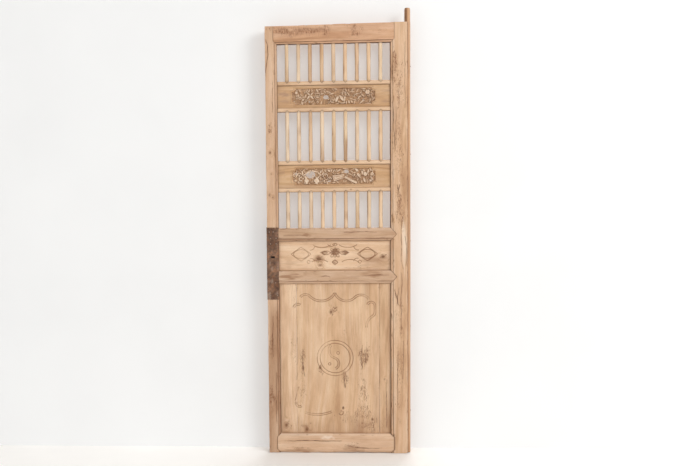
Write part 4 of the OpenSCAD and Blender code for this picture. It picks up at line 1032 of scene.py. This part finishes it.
filled = ramp(-np.abs((x - 2) / 22) - np.abs((y - 13) / 24), -1.05, -0.75)
for m in (-1, 1):
    filled = np.maximum(filled, ramp(-np.abs((x - m * 42) / 19) - np.abs((y - 12) / 12), -1.05, -0.7))
filled = np.maximum(filled, 0.7 * ramp(-np.abs((x - 1) / 13) - np.abs((y + 26) / 12), -1.05, -0.7))
filled = filled * p.front * ramp(noise(p.across / 5, 0, p.along / 9, 308), -1.1, 0.2)
p.stain += 0.9 * filled
add_grime_and_shade(p, 0.42 * filled)
for place in ((47, -79, 11, 0.75), (22, -74, 6, 0.6), (54, 176, 8, 0.8)):
    knot(p, *place)
for spot in ((48, -78, 16, 24, 0.9, 304), (24, -70, 12, 20, 0.7, 302),
             (55, 172, 14, 26, 0.8, 309), (12, 80, 9, 60, 0.5, 310)):
    scuff(p, *spot)
p.stain += blot(p, 40, 120, 22, 60, 0.35, 306) + blot(p, 30, -190, 16, 40, 0.35, 307)
panel_elm = elm("planed and scrubbed elm panel", "#ecccab")
piece = crosswise("waist_panel", p, grain_of(p, 21, (55, 60), 16.0), WAIST_PANEL_Z, PANEL_FRONT)
fit(piece, "panel_elm", panel_elm, "waist_panel")


# Lower panel: three upright planks edge to edge under the waist rail, held flat by two battens behind.
# A cartouche with stepped corners and a round medallion are drawn across them with shallow double cuts.
TWIN = 3.5  # half of the space between the two cuts of a double line
LEFT_SEAM, RIGHT_SEAM, SEAM_HALF = -170.0, 160.0, 0.15


def twin_arc(x, y, x0, y0, radius, start, sweep):
    """Distance to a double arc, its two cuts lying on either side of one middle line."""
    return nearest(*(arc_gap(x, y, x0, y0, radius + half, start, sweep) for half in (-TWIN, TWIN)))


def bracket(x, y, side, dip_x, crest_x, dip_y, rise, crest_rise):
    """Half of the ogee bracket: from the middle cusp down to the dip, up to the crest and over it."""
    dip_r = (dip_x ** 2 + rise ** 2) / (2 * rise)
    wide, k = crest_x - dip_x, dip_r - crest_rise
    crest_r = (wide ** 2 + k ** 2 - dip_r ** 2) / (2 * (dip_r - k))
    meet = math.degrees(math.atan2(k + crest_r, wide))
    cusp = math.degrees(math.atan2(rise - dip_r, dip_x))
    u = -side * x
    return nearest(twin_arc(u, y, -dip_x, dip_y + dip_r, dip_r, 180 + meet, 180 + cusp - meet),
                   twin_arc(u, y, -crest_x, dip_y + crest_rise - crest_r, crest_r, meet, 145 - meet))


def cartouche(x, y):
    """Distance to the planks' drawing, x from the panel's middle and y from its foot."""
    gaps = [twin_arc(x, y, *stroke) for stroke in (
        (-149, 511, 16, 55, 110), (144, 520, 15, 0, 160), (141, 494, 18, 304, 56), (175, 435, 50, 120, 62),
        (-145, 124, 15, 165, 130), (-74, 222, 146, 251, 42))]
    gaps += [bracket(x, y, -1, 55, 118, 540, 32, 27), bracket(x, y, 1, 45, 104, 540, 32, 24)]
    gaps += [line_gap(x, y, 159 + half, 519, 159 + half, 495) for half in (-TWIN, TWIN)]
    gaps += [line_gap(x, y, -148, 190, -163.5, 134), arc_gap(x, y, 22, 84, 9, 200, 200)]
    for v_y in (508, 497):
        gaps += [line_gap(x, y, -8, v_y + 7, 0, v_y), line_gap(x, y, 8, v_y + 7, 0, v_y)]
    u, v = x + 1, y - 308
    gaps += [np.hypot(u, v) - 72, np.hypot(u, v) - 60]
    gaps += [twin_arc(u, v, 8, 31, 32, 140, 110), twin_arc(u, v, -9, -22, 23.7, -62, 132)]
    gaps += [np.hypot(u - 12, v - 21) - 6, np.hypot(u + 22, v + 24) - 5]
    return nearest(*gaps)


planks = {
    "left_plank": (
        OPEN_L + PLAY, LEFT_SEAM - SEAM_HALF, (40, 60), ((22, 110, 7, 0.7),), (),
        ((30, 115, 16, 22, 0.8), (50, 420, 16, 60, 0.5), (60, 620, 12, 40, 0.4))),
    "centre_plank": (
        LEFT_SEAM + SEAM_HALF, RIGHT_SEAM - SEAM_HALF, (150, 70),
        ((138, 574, 6, 0.65), (92, 346, 4.5, 0.65), (24, 345, 5, 0.6), (184, 182, 3.5, 0.9),
         (37, 92, 6, 0.8), (300, 136, 4, 0.6)),
        (((24, 420), (22, 360), (30, 310)), ((192, 320), (189, 290), (193, 262)),
         ((262, 440), (258, 390), (263, 340)), ((272, 420), (275, 380), (270, 350))),
        ((148, 580, 20, 26, 0.8), (94, 340, 14, 30, 0.9), (20, 370, 16, 74, 0.8), (192, 300, 14, 40, 0.9),
         (264, 395, 24, 60, 1.0), (270, 260, 26, 70, 0.8), (262, 150, 40, 60, 0.8), (36, 100, 22, 24, 0.9),
         (190, 150, 30, 40, 0.6), (300, 110, 24, 40, 0.8), (20, 250, 16, 60, 0.7),
         (190, 500, 12, 26, 0.5))),
    "right_plank": (
        RIGHT_SEAM + SEAM_HALF, OPEN_R - PLAY, (20, 55), ((20, 300, 3, 0.6),),
        (((30, 300), (27, 200), (29, 100)),), ((16, 110, 14, 40, 0.5),)),
}
plank_tones = (panel_elm, elm("planed and scrubbed elm plank, centre", "#e4c29e", figure=0.55),
               elm("planed and scrubbed elm plank, edge", "#dcb995", figure=0.8))
for number, (name, (x0, x1, pith, knots, cracks, scuffs)) in enumerate(planks.items()):
    p = panel(x1 - x0, BOTTOM_H + PLAY, WAIST_Z - PLAY, 1.65 if number == 1 else 2.2, 16.0)
    weather(p, 330 + 10 * number, wave=0.55, chips=0.25)
    for spot in knots:
        knot(p, *spot)
    for path in cracks:
        crack(p, path, 1.3, 1.2)
    for i, spot in enumerate(scuffs):
        scuff(p, *spot, 360 + 3 * i)
    px = x0 + p.across
    ends = np.minimum(p.along - BOTTOM_H, WAIST_Z - p.along)
    in_groove(p, np.minimum(ends, np.minimum(px - OPEN_L, OPEN_R - px)))
    joint = np.minimum(p.across, x1 - x0 - p.across)
    joint = np.where(px > 0, joint, joint + 0.9)
    add_grime_and_shade(p, np.exp(-joint / 0.8) * (0.32 + 0.35 * noise(0, 0, p.along / 60, 343)) * p.front)
    incise(p, cartouche(px - PANEL_X, p.along - BOTTOM_H), 341, 0.3)
    p.stain += 0.35 * ramp(-p.along, -180, -80) * p.front
    p.stain += 0.25 * ramp(noise(p.across / 45, 0, p.along / 110, 345 + number), 0.1, 0.9)
    piece = upright(name, p, grain_of(p, 24 + number, pith, 22.0), x0, PANEL_FRONT)
    fit(piece, "panel_elm", plank_tones[number], name)


# Back battens: two elm strips driven crosswise into dovetail housings behind the planks.
# They keep the planks flat; nobody planed them, so saw marks stay on their faces.
BATTEN_W = 38.0
batten_corners = [(0, 0, 1.0, 5.0), (BATTEN_W, 0, 2.0, 4.0), (BATTEN_W, 16, 2.0, 2.5), (0, 16, 2.0, 4.0)]
batten_elm = elm("sawn elm batten", "#cda782", rough=0.74)
for number, z in ((1, 208.0), (2, 550.0)):
    p = timber(batten_corners, spaced(OPEN_L + 1, OPEN_R - 1, 3.0))
    weather(p, 400 + number, wave=0.5, chips=1.0)
    # Saw marks are 2 or 3 mm apart. They are drawn 5.5 mm apart, so that they show.
    drift = 1.2 * noise(p.across / 10, 0, p.along / 30, 403)
    p.lift += 0.25 * np.sin(p.along * math.tau / 5.5 + drift) * (p.out[:, 1] > 0.5)
    grain = grain_of(p, 30 + number, (18, 40))
    piece = crosswise(f"back_batten_{number}", p, grain, z - BATTEN_W / 2, PANEL_FRONT + PANEL_T)
    fit(piece, "batten_elm", batten_elm, f"back_batten_{number}")


# Iron plate: a strip of thin sheet bent round the latch stile, where hands and a hasp wore the wood.
# It is rusted all over, pitted, and nailed down in uneven pairs; a slot for the hasp goes through it.
PLATE_Z, PLATE_TOP = 626.0, 916.0
SHEET_IN, SHEET_OUT = 0.05, 1.6  # how far the sheet's two faces stand off the stile
REAR_IN, REAR_OUT = LEAF_T + SHEET_IN, LEAF_T + SHEET_OUT
FACE_W, RETURN_W = 46.0, 24.0  # how far the sheet reaches over the stile's face, and over its back
plate_corners = [(FACE_W, -SHEET_OUT, 0.6, 0.9), (-SHEET_OUT, -SHEET_OUT, 1.4, 2.5),
                 (-SHEET_OUT, REAR_OUT, 1.4, 2.5), (RETURN_W, REAR_OUT, 0.6, 1.0),
                 (RETURN_W, REAR_IN, 0.3, 6.0), (-SHEET_IN, REAR_IN, 0.8, 9.0),
                 (-SHEET_IN, -SHEET_IN, 0.8, 9.0), (FACE_W, -SHEET_IN, 0.3, 1.0)]


def rust(name):
    """Rusted iron: brown and orange scale in patches, dark pits, and no shine but on rubbed spots."""
    material = bpy.data.materials.new(name)
    material.use_nodes = True
    t = material.node_tree
    t.nodes.clear()
    place = add(t, "TexCoord", out="Object")
    mark = add(t, "Attribute", out="Fac", attribute_name="dirt")
    bare = add(t, "Attribute", out="Fac", attribute_name="pale")
    scale = add(t, "TexNoise", {"Vector": place, "Scale": 95.0, "Detail": 6.0, "Roughness": 0.68})
    pits = add(t, "TexNoise", {"Vector": place, "Scale": 520.0, "Detail": 4.0, "Roughness": 0.6})
    cloud = add(t, "TexNoise", {"Vector": place, "Scale": 26.0, "Detail": 3.0})
    tones = ((0.28, "#4d3a2e"), (0.42, "#735745"), (0.52, "#8c6b55"), (0.62, "#a07252"), (0.76, "#b38a6e"))
    base = add(t, "ValToRGB", {0: scale}, stops=[(at, linear(code)) for at, code in tones])
    shade = add(t, "ValToRGB", {0: cloud}, stops=((0.35, linear("#c9bdb5")), (0.62, linear("#ffffff"))))
    base = add(t, "Mix", {0: 1.0, 6: base, 7: shade}, out=2, data_type="RGBA", blend_type="MULTIPLY")
    holes = add(t, "MapRange", {"Value": pits, "From Min": 0.56, "From Max": 0.7, "To Max": 0.75})
    base = add(t, "Mix", {0: holes, 6: base, 7: linear("#33261f")}, out=2, data_type="RGBA")
    rubbed = add(t, "MapRange", {"Value": bare, "To Max": 0.7})
    base = add(t, "Mix", {0: rubbed, 6: base, 7: linear("#b39b89")}, out=2, data_type="RGBA")
    base = add(t, "Mix", {0: mark, 6: base, 7: linear("#1d1612")}, out=2, data_type="RGBA")
    height = add(t, "Math", {0: pits, 1: 0.6, 2: scale}, operation="MULTIPLY_ADD")
    bump = add(t, "Bump", {"Height": height, "Strength": 0.6, "Distance": 0.0008})
    values = {"Base Color": base, "Metallic": 0.15, "Roughness": 0.78, "Normal": bump}
    shader = add(t, "BsdfPrincipled", values)
    add(t, "OutputMaterial", {"Surface": shader}, out=slice(0, 0))
    return material


nail_rows = ((0.94, 0.2, 0.53), (0.853, 0.3, 0.77), (0.776, 0.3, 0.77), (0.235, 0.32, 0.7),
             (0.062, 0.26, 0.85))
nails = np.array([(LATCH_X + LATCH_W * share, PLATE_Z + (PLATE_TOP - PLATE_Z) * high)
                  for high, *pair in nail_rows for share in pair])
p = timber(plate_corners, spaced(PLATE_Z, PLATE_TOP, 2.6, 1.0, [(SLOT_Z, 7)]))
outer = (p.back < -1) | (p.across < -1) | (p.back > LEAF_T + 1)
dents = 0.35 * noise(p.across / 14, p.back / 14, p.along / 18, 411)
p.lift += outer * (dents + 0.12 * noise(p.across / 3, p.back / 3, p.along / 3, 412))
rough_edge = np.minimum(p.along - PLATE_Z, PLATE_TOP - p.along)
ragged = 1.2 * np.exp(-rough_edge / 4) * noise(p.across / 6, p.back / 6, 0, 413)
p.along += ragged * np.where(p.along > (PLATE_Z + PLATE_TOP) / 2, -1, 1)
p.along = np.clip(p.along, PLATE_Z, PLATE_TOP)
slot_gap = out_of_slot(p)
in_slot = ramp(-slot_gap, -0.6, 0.5)
p.lift -= 6.5 * in_slot * p.front * (p.back < -0.8)
p.lift += 7.5 * in_slot * (np.abs(p.back) < 0.5) * (p.out[:, 1] > 0.5)
add_grime_and_shade(p, ramp(-slot_gap, -1.2, 0.2) * p.front)
p.pale = 0.8 * ramp(noise(p.across / 10, 0, p.along / 25, 414), 0.35, 0.9) * p.front
for nx, nz in nails:
    d = np.hypot(LATCH_X + p.across - nx, p.along - nz)
    add_grime_and_shade(p, 0.55 * ramp(-d, -5.5, -3.4) * p.front)
    p.lift -= 0.35 * ramp(-d, -9, -3) * p.front * outer
rusted = rust("rusted sheet iron, nailed")
piece = upright("iron_plate", p, grain_of(p, 40, (20, 60)), LATCH_X)
fit(piece, "rusted_iron", rusted, "iron_plate")


# Nails: hand-forged, with low faceted heads. Ten hold the plate, five pass through the pole into the stile.
# Only their heads show, driven nearly flush and rusted like the plate.
def nail_heads(name, places, facing, radius, seed):
    """Low domes about the places, each a ring grid from rim to crown with its own faceted outline, closed
    below. facing holds the directions of the head's two widths and its rise."""
    spin = np.radians(np.arange(0, 360, 20.0))
    shell = np.array([(0.80, -1.0), (1.0, 0.0), (0.98, 0.35), (0.8, 0.8), (0.5, 1.1), (0.2, 1.25)])
    number = np.arange(len(places))[:, None, None]
    wobble = 1 + 0.10 * noise(2 * np.cos(spin), 2 * np.sin(spin), number * 5.0, seed)
    u = radius * shell[:, 0, None] * np.cos(spin) * wobble
    v = radius * shell[:, 0, None] * np.sin(spin) * wobble
    w = shell[:, 1, None] + 0.25 * u / radius * noise(number, 0.3, 0, seed + 1) + 0 * u
    rings = np.stack([u, v, w], -1).reshape(len(places), -1, 3)
    tips = np.zeros((len(places), 2, 3))
    tips[:, 0, 2], tips[:, 1, 2] = -1.0, 1.3
    local = np.concatenate([rings, tips], 1)
    points = (local @ np.array(facing) + places[:, None]).reshape(-1, 3)
    rows, columns = len(shell), len(spin)
    step = (np.arange(len(places)) * (rows * columns + 2))[:, None, None]
    faces = [(part + step).reshape(-1, part.shape[1]) for part in ring_faces(rows, columns)]
    high = np.tile(np.concatenate([np.repeat(shell[:, 1], columns), [-1.0, 1.3]]), len(places))
    return solid(name, points, faces, {"dirt": 0.5 * ramp(-high, -0.4, 0.2), "pale": ramp(high, 0.5, 1.2)})


heads = np.stack([nails[:, 0], np.full(len(nails), FRONT - SHEET_OUT), nails[:, 1]], 1)
to_front, to_side = ((1, 0, 0), (0, 0, 1), (0, -1, 0)), ((0, 1, 0), (0, 0, 1), (1, 0, 0))
fit(nail_heads("plate_nails", heads, to_front, 3.2, 421), "rusted_iron", rusted, "plate_nails")
heads = np.array([(POLE_X + POLE_R - 0.4, 0.0, LEAF_H * (i + 0.5) / 5) for i in range(5)])
fit(nail_heads("pole_nails", heads, to_side, 3.2, 431), "rusted_iron", rusted, "pole_nails")


# Studio: a plain pale floor and a plain white wall close behind, lit softly from the front right and above.
# The wall is one-sided and casts no shadow, so the leaf's back is lit and seen as well.
scene = bpy.context.scene
WALL_Y = 0.055


def to_eye(tree):
    """1 for rays that reach the eye straight, by a reflection or through a clear piece, otherwise 0."""
    rays = [add(tree, "LightPath", out=f"Is {kind} Ray") for kind in ("Camera", "Glossy", "Transmission")]
    straight = add(tree, "Math", {0: rays[0], 1: rays[1]}, operation="MAXIMUM")
    return add(tree, "Math", {0: straight, 1: rays[2]}, operation="MAXIMUM")


def plain_sheet(name, corners, low, high, glow):
    """A flat sheet of the set, with a faint cloud in its white and nothing on its back. glow is the share
    of plain white that the camera sees in it."""
    mesh = bpy.data.meshes.new(name)
    mesh.from_pydata(corners, [], [(0, 1, 2, 3)])
    sheet = bpy.data.objects.new(name, mesh)
    scene.collection.objects.link(sheet)
    material = bpy.data.materials.new("matt white " + name)
    material.use_nodes = True
    t = material.node_tree
    t.nodes.clear()
    cloud = add(t, "TexNoise", {"Vector": add(t, "TexCoord", out="Object"), "Scale": 3.0, "Detail": 2.0})
    shade = add(t, "ValToRGB", {0: cloud}, stops=((0.3, linear(low)), (0.7, linear(high))))
    white = add(t, "BsdfPrincipled", {"Base Color": shade, "Roughness": 0.95})
    lit = add(t, "Emission", {"Color": linear("#ffffff"), "Strength": 1.0})
    seen = add(t, "Math", {0: to_eye(t), 1: glow}, operation="MULTIPLY")
    face = add(t, "MixShader", {0: seen, 1: white, 2: lit})
    back = add(t, "NewGeometry", out="Backfacing")
    both = add(t, "MixShader", {0: back, 1: face, 2: add(t, "BsdfTransparent")})
    add(t, "OutputMaterial", {"Surface": both}, out=slice(0, 0))
    mesh.materials.append(material)
    return sheet


FAR, FLOOR_Z = 7.0, -0.001
ground = [(-FAR, -FAR, FLOOR_Z), (FAR, -FAR, FLOOR_Z), (FAR, FAR, FLOOR_Z), (-FAR, FAR, FLOOR_Z)]
plain_sheet("floor", ground, "#f0eeeb", "#f5f3f0", 0.0)
upright_sheet = [(-FAR, WALL_Y, FLOOR_Z), (FAR, WALL_Y, FLOOR_Z), (FAR, WALL_Y, 5), (-FAR, WALL_Y, 5)]
wall = plain_sheet("wall", upright_sheet, "#f4f5f5", "#f8f9f9", 0.25)
wall.visible_shadow = False

world = bpy.data.worlds.new("studio")
scene.world = world
world.use_nodes = True
t = world.node_tree
t.nodes.clear()
strength = add(t, "MapRange", {"Value": to_eye(t), "To Min": 0.61, "To Max": 1.0})
sky = add(t, "Background", {"Color": linear("#fffdfb"), "Strength": strength})
add(t, "OutputWorld", {"Surface": sky}, out=slice(0, 0))


def lamp(name, place, aim, size, power):
    """A square soft lamp turned to a point. Metres and watts."""
    light = bpy.data.lights.new(name, "AREA")
    light.size, light.energy = size, power
    holder = bpy.data.objects.new(name, light)
    holder.location = place
    holder.rotation_euler = (Vector(aim) - Vector(place)).to_track_quat("-Z", "Y").to_euler()
    scene.collection.objects.link(holder)


lamp("key", (2.9, -2.9, 3.3), (0, 0, 0.9), 1.8, 88)
lamp("fill", (-2.8, -3.6, 1.9), (0, 0, 0.9), 2.6, 18)
lamp("rear", (0.8, 3.4, 2.4), (0, 0, 0.9), 2.0, 75)

# Camera: where the photograph was taken from, in front of the leaf's left half and above its middle.
CAMERA_AT = (-0.0932, -3.9998, 1.2189)
YAW, PITCH, ROLL = (math.radians(v) for v in (4.022, -4.639, -0.799))
PHOTO_PX, FOCAL_PX, SHIFT_PX = 700.0, 1000.0, -105.0
ahead = Vector((-math.sin(YAW) * math.cos(PITCH), math.cos(YAW) * math.cos(PITCH), math.sin(PITCH)))
right = ahead.cross(Vector((0, 0, 1))).normalized()
up = right.cross(ahead)
across = math.cos(ROLL) * right + math.sin(ROLL) * up
above = -math.sin(ROLL) * right + math.cos(ROLL) * up
camera = bpy.data.objects.new("camera", bpy.data.cameras.new("camera"))
camera.data.sensor_width = 36.0
camera.data.lens = camera.data.sensor_width * FOCAL_PX / PHOTO_PX
camera.data.shift_x = -SHIFT_PX / PHOTO_PX
camera.matrix_world = Matrix((across, above, -ahead)).transposed().to_4x4()
camera.location = CAMERA_AT
scene.collection.objects.link(camera)
scene.camera = camera
scene.view_settings.view_transform = "Standard"

bpy.context.view_layer.update()
